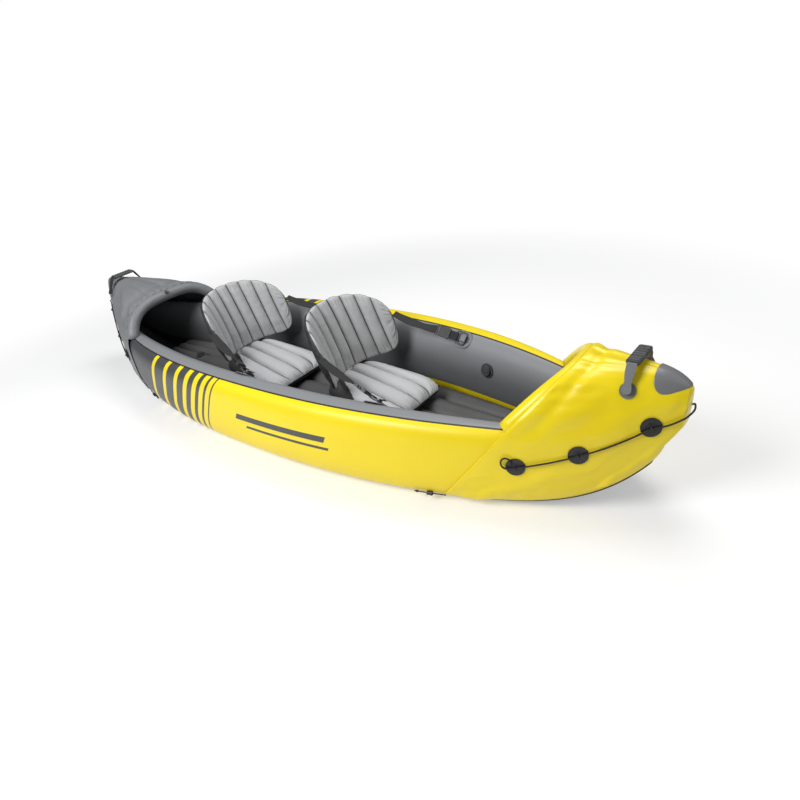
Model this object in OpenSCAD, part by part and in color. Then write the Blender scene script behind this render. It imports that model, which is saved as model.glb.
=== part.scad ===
// Inflatable tandem kayak, built as separate pieces in one frame.
// Units are millimetres. Bow points along +X, port is +Y, up is +Z.
// The hull stands on the flat middle of its bottom sheet at z = 0.

/* [Hull] */
// length over both ends of the kayak
hull_length = 3120; // [2960:10:3280]
// breadth over both side tubes
hull_beam = 910; // [880:5:960]
// top of the side tubes amidships above the ground
tube_top = 327; // [315:1:340]
// breadth of one side tube amidships
tube_width = 182; // [168:2:194]
// thickness of the bottom sheet
sheet = 5; // [4:0.5:8]
// height of the keel line at the nose
keel_rise = 305; // [290:2:320]
// height of the floor tubes above the bottom sheet
floor_height = 108; // [96:1:112]
// number of floor tubes side by side
floor_tubes = 5; // [4:1:6]

/* [Covers] */
// top of the end covers above the ground
cover_top = 490; // [475:1:510]
// dip of the stern cover at its mouth below the cover top
ridge_dip = 32; // [20:1:40]
// fall of the bow cover from its mouth to the nose
ridge_fall = 14; // [8:1:24]
// fall of the stern cover from its mouth to the nose
stern_fall = 15; // [8:1:24]
// depth of the rounding of the bow cover's ridge at the nose
nose_drop = 45; // [34:1:52]
// thickness of the cover film
film = 3; // [2:0.2:4]
// radius of the coaming tubes at the cover mouths
coaming_radius = 28; // [22:1:32]
// radius of the nose seen from above
nose_radius = 80; // [60:1:90]
// length of the oval nose patches
patch_length = 108; // [90:2:114]

/* [Seats] */
// distance from the front seat to the rear seat
seat_pitch = 655; // [620:5:690]
// place of the front backrest along the hull
front_seat_x = 207; // [180:1:230]
// length of a seat pad
pad_length = 345; // [320:5:365]
// room between a seat pad and each side tube
pad_gap = 98; // [92:1:112]
// height of the rear edge of a pad above the ground
pad_rear = 254; // [240:1:262]
// height of the front edge of a pad above the ground
pad_front = 186; // [170:1:200]
// number of channels along a pad
pad_channels = 4; // [3:1:6]
// depth of the seams of a pad
pad_seam = 20; // [10:1:26]
// height of a backrest
back_height = 282; // [262:2:292]
// room between a backrest's arc and the inner sides of the tubes
back_room = 37; // [32:1:46]
// greatest thickness of a backrest
back_thickness = 50; // [40:1:54]
// number of channels up a backrest
back_channels = 9; // [7:2:11]
// lean of a backrest
back_lean = 19; // [12:1:22]

/* [Fittings] */
// diameter of the grab lines
line_diameter = 6; // [4:0.5:7]
// diameter of the grab line guides
guide_diameter = 62; // [54:1:70]
// breadth of the seat webbing
web_width = 34; // [25:1:38]
// thickness of the seat webbing
web_thickness = 3; // [2:0.2:4]
// diameter of the hull valve bases
valve_diameter = 58; // [48:1:64]
// length of the moulded handle grips
grip_length = 116; // [100:2:130]
// breadth of the carry handle straps
handle_width = 30; // [24:1:36]

/* [Hidden] */
$fn = 48;
half = hull_length / 2 - line_diameter - 4.2;
mid_beam = hull_beam / 2;
// clearance kept between neighbouring pieces
gap = 0.6;
flat_half = 0.45 * half;
mouth_side = 0.686 * half;
// each end: low and high end of the cover mouth along the hull, dip of the ridge there,
// fall of the ridge from the mouth to the nose, and depth of its rounding at the nose
bow = [0.558 * half, 0.793 * half, 0, ridge_fall, nose_drop];
stern = [0.607 * half, 0.665 * half, ridge_dip, stern_fall, 0.18 * nose_drop];
rear_seat_x = front_seat_x - seat_pitch;
// half the clear breadth between the side tubes amidships, and what fits in it
well_half = mid_beam - tube_width;
pad_width = 2 * (well_half - pad_gap);
back_radius = well_half - back_room;
line_radius = line_diameter / 2;

// Shared shape functions, all symmetric fore and aft.
function unit(v) = v / norm(v);
function clamp01(t) = max(0, min(1, t));
function keel(x) = abs(x) <= flat_half ? 0
    : keel_rise * pow((abs(x) - flat_half) / (half - flat_half), 5);
function tube_out(x) = mid_beam * (1 - pow(abs(x) / (half + 40), 2.35));
function tube_half(x) = min(tube_width / 2 * (1 - 0.8 * pow(abs(x) / half, 3)),
    tube_out(x) / 1.05);
function tube_mid(x) = tube_out(x) - tube_half(x);
function tube_low(x) = keel(x) + sheet + gap;
// the tubes' tops dip toward the cover mouths, then sweep up to the ends
tube_dip = 25;
function tube_high(x) = abs(x) <= mouth_side
    ? tube_top - tube_dip * pow(abs(x) / mouth_side, 3)
    : tube_top - tube_dip + 55 * pow((abs(x) - mouth_side) / (0.276 * half), 2);
function tube_z(x) = (tube_high(x) + tube_low(x)) / 2;
function tube_rise(x) = (tube_high(x) - tube_low(x)) / 2;

// A closed solid through rings with the same number of points, closed by a fan at each end.
function mean(ring) = [for (k = [0 : 2]) [for (p = ring) 1] * [for (p = ring) p[k]] / len(ring)];
function loft_sides(m, n) = [for (i = [0 : m - 2]) for (j = [0 : n - 1])
    let (a = i * n + j, b = i * n + (j + 1) % n, c = a + n, d = b + n)
    each [[a, d, b], [a, c, d]]];
module loft(rings) {
    n = len(rings[0]);
    m = len(rings);
    points = concat([for (r = rings) for (p = r) p], [mean(rings[0]), mean(rings[m - 1])]);
    first = [for (j = [0 : n - 1]) [j, (j + 1) % n, m * n]];
    last = [for (j = [0 : n - 1]) [(m - 1) * n + (j + 1) % n, (m - 1) * n + j, m * n + 1]];
    polyhedron(points, concat(loft_sides(m, n), first, last), convexity = 10);
}

// The same for a bent band: each ring runs out along one face and back along the other.
module loft_band(rings) {
    n = len(rings[0]);
    m = len(rings);
    last_row = (m - 1) * n;
    first = [for (k = [0 : n / 2 - 2]) each [[k, k + 1, n - 1 - k], [n - 1 - k, k + 1, n - 2 - k]]];
    last = [for (k = [0 : n / 2 - 2]) each [[last_row + k + 1, last_row + k, last_row + n - 1 - k],
        [last_row + n - 2 - k, last_row + k + 1, last_row + n - 1 - k]]];
    polyhedron([for (r = rings) for (p = r) p], concat(loft_sides(m, n), first, last),
        convexity = 10);
}

// A round cord through a list of points, its rings carried along without twist.
function path_way(path, i) =
    unit(path[min(i + 1, len(path) - 1)] - path[max(i - 1, 0)]);
function across(a, t) = unit(a - (a * t) * t);
module cord(path, radius, ref, sides) {
    m = len(path);
    side = [for (i = 0, a = across(ref, path_way(path, 0)); i < m;
        i = i + 1, a = across(a, path_way(path, min(i, m - 1)))) a];
    loft([for (i = [0 : m - 1]) let (b = cross(path_way(path, i), side[i]))
        [for (k = [0 : sides - 1])
            path[i] + (is_list(radius) ? radius[i] : radius)
                * (cos(360 * k / sides) * side[i] + sin(360 * k / sides) * b)]]);
}

// Places children with their own axes along three unit directions at a point.
module placed(at, u, v, w) {
    multmatrix([[u[0], v[0], w[0], at[0]], [u[1], v[1], w[1], at[1]],
        [u[2], v[2], w[2], at[2]], [0, 0, 0, 1]]) children();
}

// Side tubes: oval lofts, flattened where the two meet on the centre plane.
tube_end = half - 50;
tube_stations = concat([-tube_end, -tube_end + 8, -tube_end + 28],
    [for (k = [-13 : 13]) k * (tube_end - 60) / 13],
    [tube_end - 28, tube_end - 8, tube_end]);
function tube_end_scale(x) = let (d = tube_end - abs(x))
    d < 1 ? 0.5 : d < 10 ? 0.8 : d < 30 ? 0.95 : 1;
function tube_ring(x) = let (k = tube_end_scale(x))
    [for (t = [0 : 18 : 342])
        [x, max(0.4, tube_mid(x) + tube_half(x) * k * cos(t)),
            tube_z(x) + tube_rise(x) * k * sin(t)]];
module tube_port() {
    color([0.93, 0.82, 0.12]) loft([for (x = tube_stations) tube_ring(x)]);
}
module tube_starboard() {
    mirror([0, 1, 0]) tube_port();
}

// Bottom sheet: a flat middle and two lifted ends.
function sheet_half(x) = max(5, tube_mid(x) + 0.15 * tube_half(x));
module bottom_sheet() {
    steps = [for (k = [-8 : 8]) k * flat_half / 8];
    color([0.2, 0.2, 0.2]) linear_extrude(sheet)
        polygon(concat([for (x = steps) [x, -sheet_half(x)]],
            [for (k = [8 : -1 : -8]) [k * flat_half / 8, sheet_half(k * flat_half / 8)]]));
}
module end_bottom() {
    stations = concat([flat_half + 0.2],
        [for (x = tube_stations) if (x > flat_half + 20 && x < tube_end - 0.058 * half) x]);
    loft([for (x = stations) let (h = sheet_half(x), z = keel(x))
        [[x, -h, z], [x, h, z], [x, h, z + sheet], [x, -h, z + sheet]]]);
}
module bow_bottom() {
    color([0.2, 0.2, 0.2]) end_bottom();
}
module stern_bottom() {
    color([0.2, 0.2, 0.2]) mirror([1, 0, 0]) end_bottom();
}

// Floor: air tubes side by side, narrowing with the hull.
floor_end = 0.735 * half;
function floor_base(x) = keel(x) + sheet + gap
    + 2 * gap * clamp01((abs(x) - flat_half) / (0.04 * half));
function floor_half(x) = let (z = floor_base(x) + 0.8 * floor_height,
    s = (z - tube_z(x)) / tube_rise(x))
    tube_mid(x) - tube_half(x) * sqrt(max(0, 1 - s * s)) - 3;
function floor_crown(t) = let (c = abs(sin(180 * floor_tubes * (t + 1) / 2)))
    0.62 + 0.38 * pow(c, 0.6);
function floor_edge(t) = sqrt(max(0, 1 - pow(abs(t), 14)));
function floor_ring(x, k) = let (h = floor_half(x) * k, n = floor_tubes * 6)
    concat([for (i = [0 : n]) let (t = 1 - 2 * i / n)
            [x, h * t, floor_base(x) + floor_height * (0.22 + (0.78 * k - 0.08)
                * floor_crown(t) * floor_edge(t))]],
        [for (t = [-0.94 : 0.47 : 0.95]) [x, h * t, floor_base(x)]]);
floor_steps = [for (k = [-7 : 7]) k / 7];
module floor() {
    color([0.24, 0.24, 0.24]) loft([for (s = floor_steps)
        floor_ring(s * floor_end, abs(s) > 0.99 ? 0.8 : 1)]);
}

// End covers: films stretched over the tubes and a raised arch, cut by a leaning mouth.
// Each function takes the end it is for, the bow or the stern.
function cover_ridge(x, e) = let (u = clamp01((x - bow[1]) / (half - bow[1])))
    cover_top - e[3] * u - e[4] * pow(u, 8) - e[2] * (1 - clamp01((x - e[1]) / (0.22 * half)));
function cover_hem(x) = keel(x) + 26 + sheet;
function cover_out(x, g) = x <= half - nose_radius ? tube_out(x) + g
    : min(tube_out(x) + g, g - 5 + sqrt(max(20, pow(nose_radius + 2, 2)
        - pow(x - half + nose_radius, 2))));
function cover_power(x, e) = 3.2 - 1.0 * clamp01((x - e[0]) / (half - e[0]));
function cover_side(x, z, g, e) = let (zm = tube_z(x), out = cover_out(x, g),
        rise = tube_rise(x) + g, low = abs(zm - z) / rise, p = cover_power(x, e),
        snug = out * (tube_mid(x) + tube_half(x) * sqrt(max(0, 1 - low * low))) / tube_out(x),
        high = clamp01((z - zm) / (cover_ridge(x, e) + g - film - 2 - zm)),
        arch = out * pow(max(0, 1 - pow(high, p)), 1 / p))
    z <= zm ? snug : low < 1 ? max(snug, arch) : arch;
cover_angles = [-62, -44, -26, -8, 8, 22, 36, 50, 63, 76, 84, 90];
cover_count = 15;
function cover_u(k) = 1 - pow(1 - k / cover_count, 1.5);
function cover_hem_x(u, e) = e[0] + (half - 14 - e[0]) * u;
function cover_ridge_x(u, e) = e[1] + (half - 1 - e[1]) * u;
function cover_point(u, a, g, side, e) = let (xh = cover_hem_x(u, e), xr = cover_ridge_x(u, e),
        zh = cover_hem(xh), zr = cover_ridge(xr, e) + g - film - 2,
        zm = min(max(tube_z((xh + xr) / 2), zh + 12), zr - 30),
        z = a >= 0 ? zm + (zr - zm) * sin(a) : zm + (zm - zh) * sin(a) / sin(62),
        x = xh + (xr - xh) * (z - zh) / (zr - zh))
    [x, a == 90 ? 0 : side * max(0.5, cover_side(x, z, g, e)), z];
function cover_ring(u, e) = let (n = len(cover_angles))
    concat([for (i = [0 : n - 1]) cover_point(u, cover_angles[i], film + 2, -1, e)],
        [for (i = [n - 2 : -1 : 0]) cover_point(u, cover_angles[i], film + 2, 1, e)],
        [for (i = [0 : n - 1]) cover_point(u, cover_angles[i], 2, 1, e)],
        [for (i = [n - 2 : -1 : 0]) cover_point(u, cover_angles[i], 2, -1, e)]);
module end_cover(e) {
    loft_band([for (k = [cover_count : -1 : 0]) cover_ring(cover_u(k), e)]);
}
module bow_cover() {
    color([0.95, 0.85, 0.1]) end_cover(bow);
}
module stern_cover() {
    color([0.42, 0.43, 0.44]) mirror([1, 0, 0]) end_cover(stern);
}

// Coaming tubes: inflated arches that hold the cover mouths open. The axis runs inside the
// mouth's inner edge, and ends where the tube meets the top of the side tube.
coaming_room = coaming_radius + 4 * gap;
function mouth_fore(a, e) = cover_point(0.03, a, 2, 1, e) - cover_point(0, a, 2, 1, e);
function mouth_way(a, e) = a > 89 ? [0, -1, 0]
    : cover_point(0, a + 0.5, 2, 1, e) - cover_point(0, a - 0.5, 2, 1, e);
function coaming_axis(a, e) = cover_point(0, a, 2, 1, e)
    + coaming_room * unit(cross(mouth_fore(a, e), mouth_way(a, e)));
function meets_tube(p) = let (y = (p[1] - tube_mid(p[0])) / (tube_half(p[0]) + coaming_room),
        z = (p[2] - tube_z(p[0])) / (tube_rise(p[0]) + coaming_room))
    y * y + z * z < 1;
function coaming_foot(e) = 1 + max([for (a = [2 : 80]) if (meets_tube(coaming_axis(a, e))) a]);
function coaming_half(e) = let (foot = coaming_foot(e))
    [for (k = [12 : -1 : 0]) coaming_axis(90 - (90 - foot) * pow(k / 12, 1.35), e)];
module end_coaming(e) {
    side = coaming_half(e);
    other = flipped(side);
    path = concat(side, [for (i = [1 : len(other) - 1]) other[i]]);
    cord(path, coaming_radius, [1, 0, 0], 12);
}
module bow_coaming() {
    color([0.95, 0.85, 0.1]) end_coaming(bow);
}
module stern_coaming() {
    color([0.42, 0.43, 0.44]) mirror([1, 0, 0]) end_coaming(stern);
}

// Surface frames on a side tube and on a cover side.
function tube_at(x, t) = [x, tube_mid(x) + tube_half(x) * cos(t), tube_z(x) + tube_rise(x) * sin(t)];
function tube_along(x, t) = unit(tube_at(x + 2, t) - tube_at(x - 2, t));
function tube_out_way(x, t) =
    unit(cross(tube_at(x, t + 1) - tube_at(x, t - 1), tube_along(x, t)));
function tube_point(x, t, off) = tube_at(x, t) + off * tube_out_way(x, t);
function side_point(x, z, off, e) = let (g = film + 2, y = cover_side(x, z, g, e),
        dx = (cover_side(x + 2, z, g, e) - cover_side(x - 2, z, g, e)) / 4,
        dz = (cover_side(x, z + 2, g, e) - cover_side(x, z - 2, g, e)) / 4)
    [x, y, z] + off * unit([-dx, 1, -dz]);
function side_out(x, z, e) = unit(side_point(x, z, 1, e) - side_point(x, z, 0, e));

// Grab lines: one cord from guide to guide along each side and round the nose.
line_off = 4.2 + line_radius;
guide_x = [0.7195 * half, 0.83 * half, 0.945 * half];
// height of the line at the guides and the nose, as shares from the keel to the cover top
line_share = [[guide_x[0], 0.377], [guide_x[1], 0.425], [guide_x[2], 0.466], [0.998 * half, 0.30]];
function line_z(x) = keel(x) + (cover_top - keel(x)) * lookup(x, line_share);
function line_point(x, e) = side_point(x, line_z(x), line_off, e);
function line_way(x, e) = unit(line_point(x + 6, e) - line_point(x - 6, e));
// the free end hangs in a small open loop below the first guide, lifted clear of it
tail_lift = 1.4;
function tail_path(e) = let (x = guide_x[0], way = line_way(x, e), out = side_out(x, line_z(x), e),
        down = -1 * unit(cross(out, way)), root = line_point(x, e) - 26 * way)
    [for (a = [315 : -22.5 : 0]) root + tail_lift * min(1, a / 45) * out
        + 20 * (1 - cos(a)) * down + 16 * sin(a) * way];
line_xs = concat([for (k = [0 : 20]) guide_x[0] + (0.965 * half - guide_x[0]) * k / 20],
    [0.974 * half, 0.983 * half, 0.990 * half, 0.9955 * half]);
function line_half(e) = concat(tail_path(e), [for (x = line_xs) line_point(x, e)]);
line_tip = [[half + line_off, 0, line_z(0.9955 * half) + 4]];
function flipped(path) = [for (i = [len(path) - 1 : -1 : 0])
    [path[i][0], -path[i][1], path[i][2]]];
module end_grab_line(e) {
    cord(concat(line_half(e), line_tip, flipped(line_half(e))), line_radius, [0, 0, 1], 8);
}
module bow_grab_line() {
    color([0.08, 0.08, 0.08]) end_grab_line(bow);
}
module stern_grab_line() {
    color([0.08, 0.08, 0.08]) mirror([1, 0, 0]) end_grab_line(stern);
}

// Guides: round discs, each with an eye that the grab line runs through.
module on_side(x, off, e) {
    z = line_z(x);
    n = side_out(x, z, e);
    v = unit(cross(n, line_way(x, e)));
    placed(side_point(x, z, off, e), cross(v, n), v, n) children();
}
// how far the skin stands above the plane of a guide, with half as much again for its facets
function guide_lift(x, e) = let (z = line_z(x), n = side_out(x, z, e),
        v = unit(cross(n, line_way(x, e))), u = cross(v, n), middle = side_point(x, z, 0, e))
    1.5 * max([for (r = [0.2, 0.35, 0.5], a = [0 : 15 : 345])
        let (q = middle + r * guide_diameter * (cos(a) * u + sin(a) * v))
        max(0, (side_point(q[0], q[2], 0, e) - q) * n)]);
module guide(lift) {
    cylinder(h = 3, d = guide_diameter);
    cylinder(h = 4.2, d = 0.45 * guide_diameter);
    translate([0, 0, line_off - gap - lift]) rotate([0, 90, 0])
        rotate_extrude() translate([line_radius + 2.7, 0]) circle(2.2);
}
module end_guides(e) {
    for (side = [0, 1]) mirror([0, side, 0]) for (x = guide_x) difference() {
        on_side(x, gap + guide_lift(x, e), e) guide(guide_lift(x, e));
        union() {
            on_side(x, line_off, e) rotate([0, 90, 0])
                cylinder(h = 0.6 * guide_diameter, d = line_diameter + 1, center = true);
            cord([for (p = line_xs) if (abs(p - x) < guide_diameter) line_point(p, e)],
                line_radius + 0.5, [0, 0, 1], 8);
        }
    }
}
module bow_guides() {
    color([0.1, 0.1, 0.1]) end_guides(bow);
}
module stern_guides() {
    color([0.1, 0.1, 0.1]) mirror([1, 0, 0]) end_guides(stern);
}

// Drawcords at the lower corners of the cover mouths, with sliding cord locks.
draw_radius = 2;
draw_angle = -54;
draw_off = 7.9;
draw_step = 11;
knot_step = 3;
lock_back = 52;
function draw_point(x) = tube_point(x, draw_angle, draw_off);
// The cord ends in a small knot.
draw_radii = concat([for (k = [0 : 9]) draw_radius], [1.6, 2.1, 2.3, 2.1, 1.3] * draw_radius);
function draw_path(e) = concat([for (k = [0 : 9]) draw_point(e[0] + draw_step * (0.55 - k))],
    [for (k = [0 : 4]) draw_point(e[0] - 8.64 * draw_step - knot_step * k)]);
module end_drawcords(e) {
    for (side = [0, 1]) mirror([0, side, 0]) cord(draw_path(e), draw_radii, [0, 0, 1], 8);
}
module bow_drawcords() {
    color([0.08, 0.08, 0.08]) end_drawcords(bow);
}
module stern_drawcords() {
    color([0.08, 0.08, 0.08]) mirror([1, 0, 0]) end_drawcords(stern);
}
module cord_lock(e) {
    x = e[0] - lock_back;
    u = tube_along(x, draw_angle);
    n = tube_out_way(x, draw_angle);
    color([0.1, 0.1, 0.1]) placed(draw_point(x), u, cross(n, u), n) difference() {
        union() {
            rotate([0, 90, 0]) cylinder(h = 20, d = 15, center = true);
            translate([0, 12, 0]) rotate([90, 0, 0]) cylinder(h = 12, d = 9, center = true);
        }
        rotate([0, 90, 0]) cylinder(h = 60, d = draw_radius * 2 + 1.6, center = true);
    }
}
module lock_bow_port() {
    cord_lock(bow);
}
module lock_bow_starboard() {
    mirror([0, 1, 0]) cord_lock(bow);
}
module lock_stern_port() {
    mirror([1, 0, 0]) cord_lock(stern);
}
module lock_stern_starboard() {
    mirror([1, 0, 0]) mirror([0, 1, 0]) cord_lock(stern);
}

// Nose patches: oval pads that follow the cover over the nose.
nose_mid = 0.845;
nose_inner = 3 * gap;
nose_outer = 4.2;
nose_reach = patch_length / 2 / (half - bow[1]) * 0.88;
function nose_angle(v) = 90 - 40 * sqrt(max(0.02, 1 - v * v));
function nose_u(v, e) = 1 - (1 - nose_mid - nose_reach * v) * (half - bow[1]) / (half - e[1]);
function nose_arc(v, g, side, back, e) = let (a = nose_angle(v))
    [for (k = back ? [5 : -1 : 0] : [0 : 6])
        cover_point(nose_u(v, e), a + (90 - a) * k / 6, film + 2 + g, side, e)];
function nose_ring(v, e) = concat(nose_arc(v, nose_outer, -1, false, e),
    nose_arc(v, nose_outer, 1, true, e),
    nose_arc(v, nose_inner, 1, false, e), nose_arc(v, nose_inner, -1, true, e));
module nose_patch(e) {
    loft_band([for (v = [1, 0.9, 0.7, 0.45, 0.15, -0.15, -0.45, -0.7, -0.9, -1]) nose_ring(v, e)]);
}
module bow_nose_patch() {
    color([0.45, 0.45, 0.46]) nose_patch(bow);
}
module stern_nose_patch() {
    color([0.35, 0.35, 0.36]) mirror([1, 0, 0]) nose_patch(stern);
}

// Carry handles: a strap over each cover with a ribbed grip, pivoting on two end patches.
handle_x = 0.9 * half;
handle_boss = 11;
boss_radius = 6.5;
patch_seat = 0.15;
strap_half = 1.2;
grip_half = grip_length / 2;
function handle_z(e) = cover_ridge(handle_x, e) - 50;
function grip_z(e) = cover_ridge(handle_x, e) + 24;
function handle_n(e) = side_out(handle_x, handle_z(e), e);
// the strap lies level fore and aft, so it clears the tilted rim of the boss
function handle_foot(e) = let (n = handle_n(e))
    side_point(handle_x, handle_z(e), handle_boss + patch_seat
        + (strap_half + boss_radius * abs(n[0]) + 1.3 * gap) / norm([n[1], n[2]]), e);
module end_handle_patches(e) {
    n = handle_n(e);
    v = unit(cross(n, [1, 0, 0]));
    for (side = [0, 1]) mirror([0, side, 0])
        placed(side_point(handle_x, handle_z(e), patch_seat, e), cross(v, n), v, n) {
            cylinder(h = 3, d = 48);
            cylinder(h = handle_boss, r = boss_radius);
        }
}
module bow_handle_patches() {
    color([0.5, 0.5, 0.51]) end_handle_patches(bow);
}
module stern_handle_patches() {
    color([0.35, 0.35, 0.36]) mirror([1, 0, 0]) end_handle_patches(stern);
}
function handle_side(e) = let (n = handle_n(e), foot = handle_foot(e), f = [foot[1], foot[2]])
    [f + 12 * [n[2], -n[1]] / norm([n[1], n[2]]), f, [grip_half + 9, grip_z(e) - 5],
        [grip_half, grip_z(e)]];
function handle_path(e) = let (h = handle_side(e))
    concat(h, [for (i = [len(h) - 1 : -1 : 0]) [-h[i][0], h[i][1]]]);
function flat_side(path, i) = let (d = path[min(i + 1, len(path) - 1)] - path[max(i - 1, 0)])
    [d[1], -d[0]] / norm(d);
module end_handle_strap(e) {
    path = handle_path(e);
    m = len(path);
    band = concat([for (i = [0 : m - 1]) path[i] + strap_half * flat_side(path, i)],
        [for (i = [m - 1 : -1 : 0]) path[i] - strap_half * flat_side(path, i)]);
    placed([handle_x - handle_width / 2, 0, 0], [0, 1, 0], [0, 0, 1], [1, 0, 0])
        linear_extrude(handle_width) polygon(band);
}
module bow_handle_strap() {
    color([0.5, 0.5, 0.51]) end_handle_strap(bow);
}
module stern_handle_strap() {
    color([0.2, 0.2, 0.2]) mirror([1, 0, 0]) end_handle_strap(stern);
}
module grip_shape(long, wide, high) {
    translate([-(wide - high) / 2, -long / 2, -high / 2]) cube([wide - high, long, high]);
    for (s = [-1, 1]) translate([s * (wide - high) / 2, 0, 0]) rotate([90, 0, 0])
        cylinder(h = long, d = high, center = true);
}
module end_handle_grip(e) {
    translate([handle_x, 0, grip_z(e)]) difference() {
        union() {
            grip_shape(grip_length - 6, handle_width + 10, 13);
            for (k = [-3 : 3]) translate([0, k * (grip_length - 14) / 6.6, 0])
                grip_shape(7, handle_width + 13, 16);
        }
        cube([handle_width + 1, grip_length + 10, 3.6], center = true);
    }
}
module bow_handle_grip() {
    color([0.42, 0.42, 0.43]) end_handle_grip(bow);
}
module stern_handle_grip() {
    color([0.3, 0.3, 0.31]) mirror([1, 0, 0]) end_handle_grip(stern);
}

// Air valves: a flanged base with a bored neck and a cap that turns on it.
valve_x = 0.474 * half;
valve_angle = 159;
module valve_base(d) {
    difference() {
        union() {
            cylinder(h = 4, d = d);
            cylinder(h = 9, d = 0.46 * d);
        }
        translate([0, 0, 2]) cylinder(h = 20, d = 0.3 * d);
    }
}
module valve_cap(d) {
    difference() {
        translate([0, 0, 4.5]) cylinder(h = 10, d = 0.7 * d);
        translate([0, 0, 4]) cylinder(h = 6, d = 0.46 * d + 1);
    }
    translate([-0.28 * d, -2, 14]) cube([0.56 * d, 4, 5]);
}
module on_tube() {
    u = tube_along(valve_x, valve_angle);
    n = tube_out_way(valve_x, valve_angle);
    placed(tube_point(valve_x, valve_angle, 0.9), u, cross(n, u), n) children();
}
module valve_port_base() {
    color([0.3, 0.3, 0.3]) on_tube() valve_base(valve_diameter);
}
module valve_port_cap() {
    color([0.22, 0.22, 0.22]) on_tube() valve_cap(valve_diameter);
}
module valve_starboard_base() {
    color([0.3, 0.3, 0.3]) mirror([0, 1, 0]) on_tube() valve_base(valve_diameter);
}
module valve_starboard_cap() {
    color([0.22, 0.22, 0.22]) mirror([0, 1, 0]) on_tube() valve_cap(valve_diameter);
}
floor_valve_x = -0.57 * half;
floor_crest = floor_base(floor_valve_x) + floor_height * 0.92;
module floor_valve_base() {
    color([0.3, 0.3, 0.3]) translate([floor_valve_x, 0, floor_crest + gap])
        valve_base(0.8 * valve_diameter);
}
module floor_valve_cap() {
    color([0.22, 0.22, 0.22]) translate([floor_valve_x, 0, floor_crest + gap])
        valve_cap(0.8 * valve_diameter);
}
module on_coaming() {
    n = unit([0.75, 0, 0.66]);
    p = coaming_axis(90, stern);
    placed([-p[0], 0, p[2]] + (coaming_radius + 0.3) * n, cross([0, 1, 0], n), [0, 1, 0], n)
        children();
}
module coaming_valve_base() {
    color([0.3, 0.3, 0.3]) on_coaming() difference() {
        union() {
            cylinder(h = 2, d = 24);
            cylinder(h = 5, d = 13);
        }
        translate([0, 0, 1.2]) cylinder(h = 10, d = 7);
    }
}
module coaming_valve_plug() {
    color([0.2, 0.2, 0.2]) on_coaming() {
        translate([0, 0, 1.8]) cylinder(h = 4.5, d = 6.2);
        translate([0, 0, 5.5]) cylinder(h = 2.5, d = 13);
    }
}

// Seat pads: channelled cushions with drawn-in sides.
pad_base = floor_base(0) + floor_height * 0.92 + gap;
pad_back = 46;
function pad_edge(t, p) = sqrt(max(0, 1 - pow(abs(t), p)));
function pad_line(s) = pad_rear + (pad_front - pad_rear) * (s + 1) / 2;
function pad_waist(s) = 0.42 * pad_line(s) + 0.58 * pad_base;
function pad_channel(t) = pow(1 - abs(sin(180 * pad_channels * (t + 1) / 2)), 1.6);
function pad_top(s, t) = let (e = max(0.12, pad_edge(s, 6)))
    pad_waist(s) + ((pad_line(s) - pad_waist(s)) - pad_seam * pad_channel(t) * pad_edge(t, 8))
        * e * max(0.06, pad_edge(t, 5));
function pad_low(s, t) = let (e = max(0.12, pad_edge(s, 8)))
    pad_waist(s) - (pad_waist(s) - pad_base) * e * max(0.06, pad_edge(t, 6));
function pad_half(s) = pad_width / 2 * (1 - 0.3 * (1 - pad_edge(s, s > 0 ? 5 : 9)));
function pad_ring(x0, s) = let (x = x0 - pad_back + (pad_length + pad_back) * (s + 1) / 2,
        w = pad_half(s), n = pad_channels * 6)
    concat([for (i = [0 : n]) let (t = 1 - 2 * i / n) [x, w * t, pad_top(s, t)]],
        [for (t = [-0.96, -0.8, -0.5, 0, 0.5, 0.8, 0.96]) [x, w * t, pad_low(s, t)]]);
pad_steps = [-1, -0.97, -0.9, -0.78, -0.6, -0.35, 0, 0.35, 0.6, 0.78, 0.9, 0.97, 1];
module seat_pad(x0) {
    color([0.75, 0.76, 0.77]) loft([for (s = pad_steps) pad_ring(x0, s)]);
}
module front_pad() {
    seat_pad(front_seat_x);
}
module rear_pad() {
    seat_pad(rear_seat_x);
}

// Backrests: wrap-round cushions with upright channels and a domed top.
back_sweep = 66;
back_side = 0.58 * back_height;
back_low = pad_top(-1 + 2 * pad_back / (pad_length + pad_back), 1 / pad_channels) + 1.1 * gap;
function back_top_h(v) = back_side + (back_height - back_side) * pad_edge(v, 2.5);
function back_low_h(v) = back_side * (1 - pad_edge(v, 5));
function back_fill(v) = let (c = abs(sin(180 * back_channels * (v + 1) / 2)))
    (0.42 + 0.58 * pow(c, 0.7)) * (1 - 0.55 * pow(abs(v), 6));
function back_ring(x0, v) = let (f = v * back_sweep, h1 = back_top_h(v), h0 = back_low_h(v),
        hm = (h0 + h1) / 2, hh = max(9, (h1 - h0) / 2),
        th = max(11, back_thickness * back_fill(v)) / 2)
    [for (k = [0 : 15]) let (a = 22.5 * k, c = cos(a), s = sin(a),
            h = hm + hh * sign(s) * pow(abs(s), 0.85),
            r = back_radius + th * sign(c) * pow(abs(c), 0.62))
        [x0 + back_radius - r * cos(f) - h * tan(back_lean), r * sin(f), back_low + h]];
module seat_back(x0) {
    n = back_channels * 4;
    color([0.78, 0.79, 0.8])
        loft([for (k = [0 : n]) back_ring(x0, max(-0.995, min(0.995, 2 * k / n - 1)))]);
}
module front_backrest() {
    seat_back(front_seat_x);
}
module rear_backrest() {
    seat_back(rear_seat_x);
}

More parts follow.
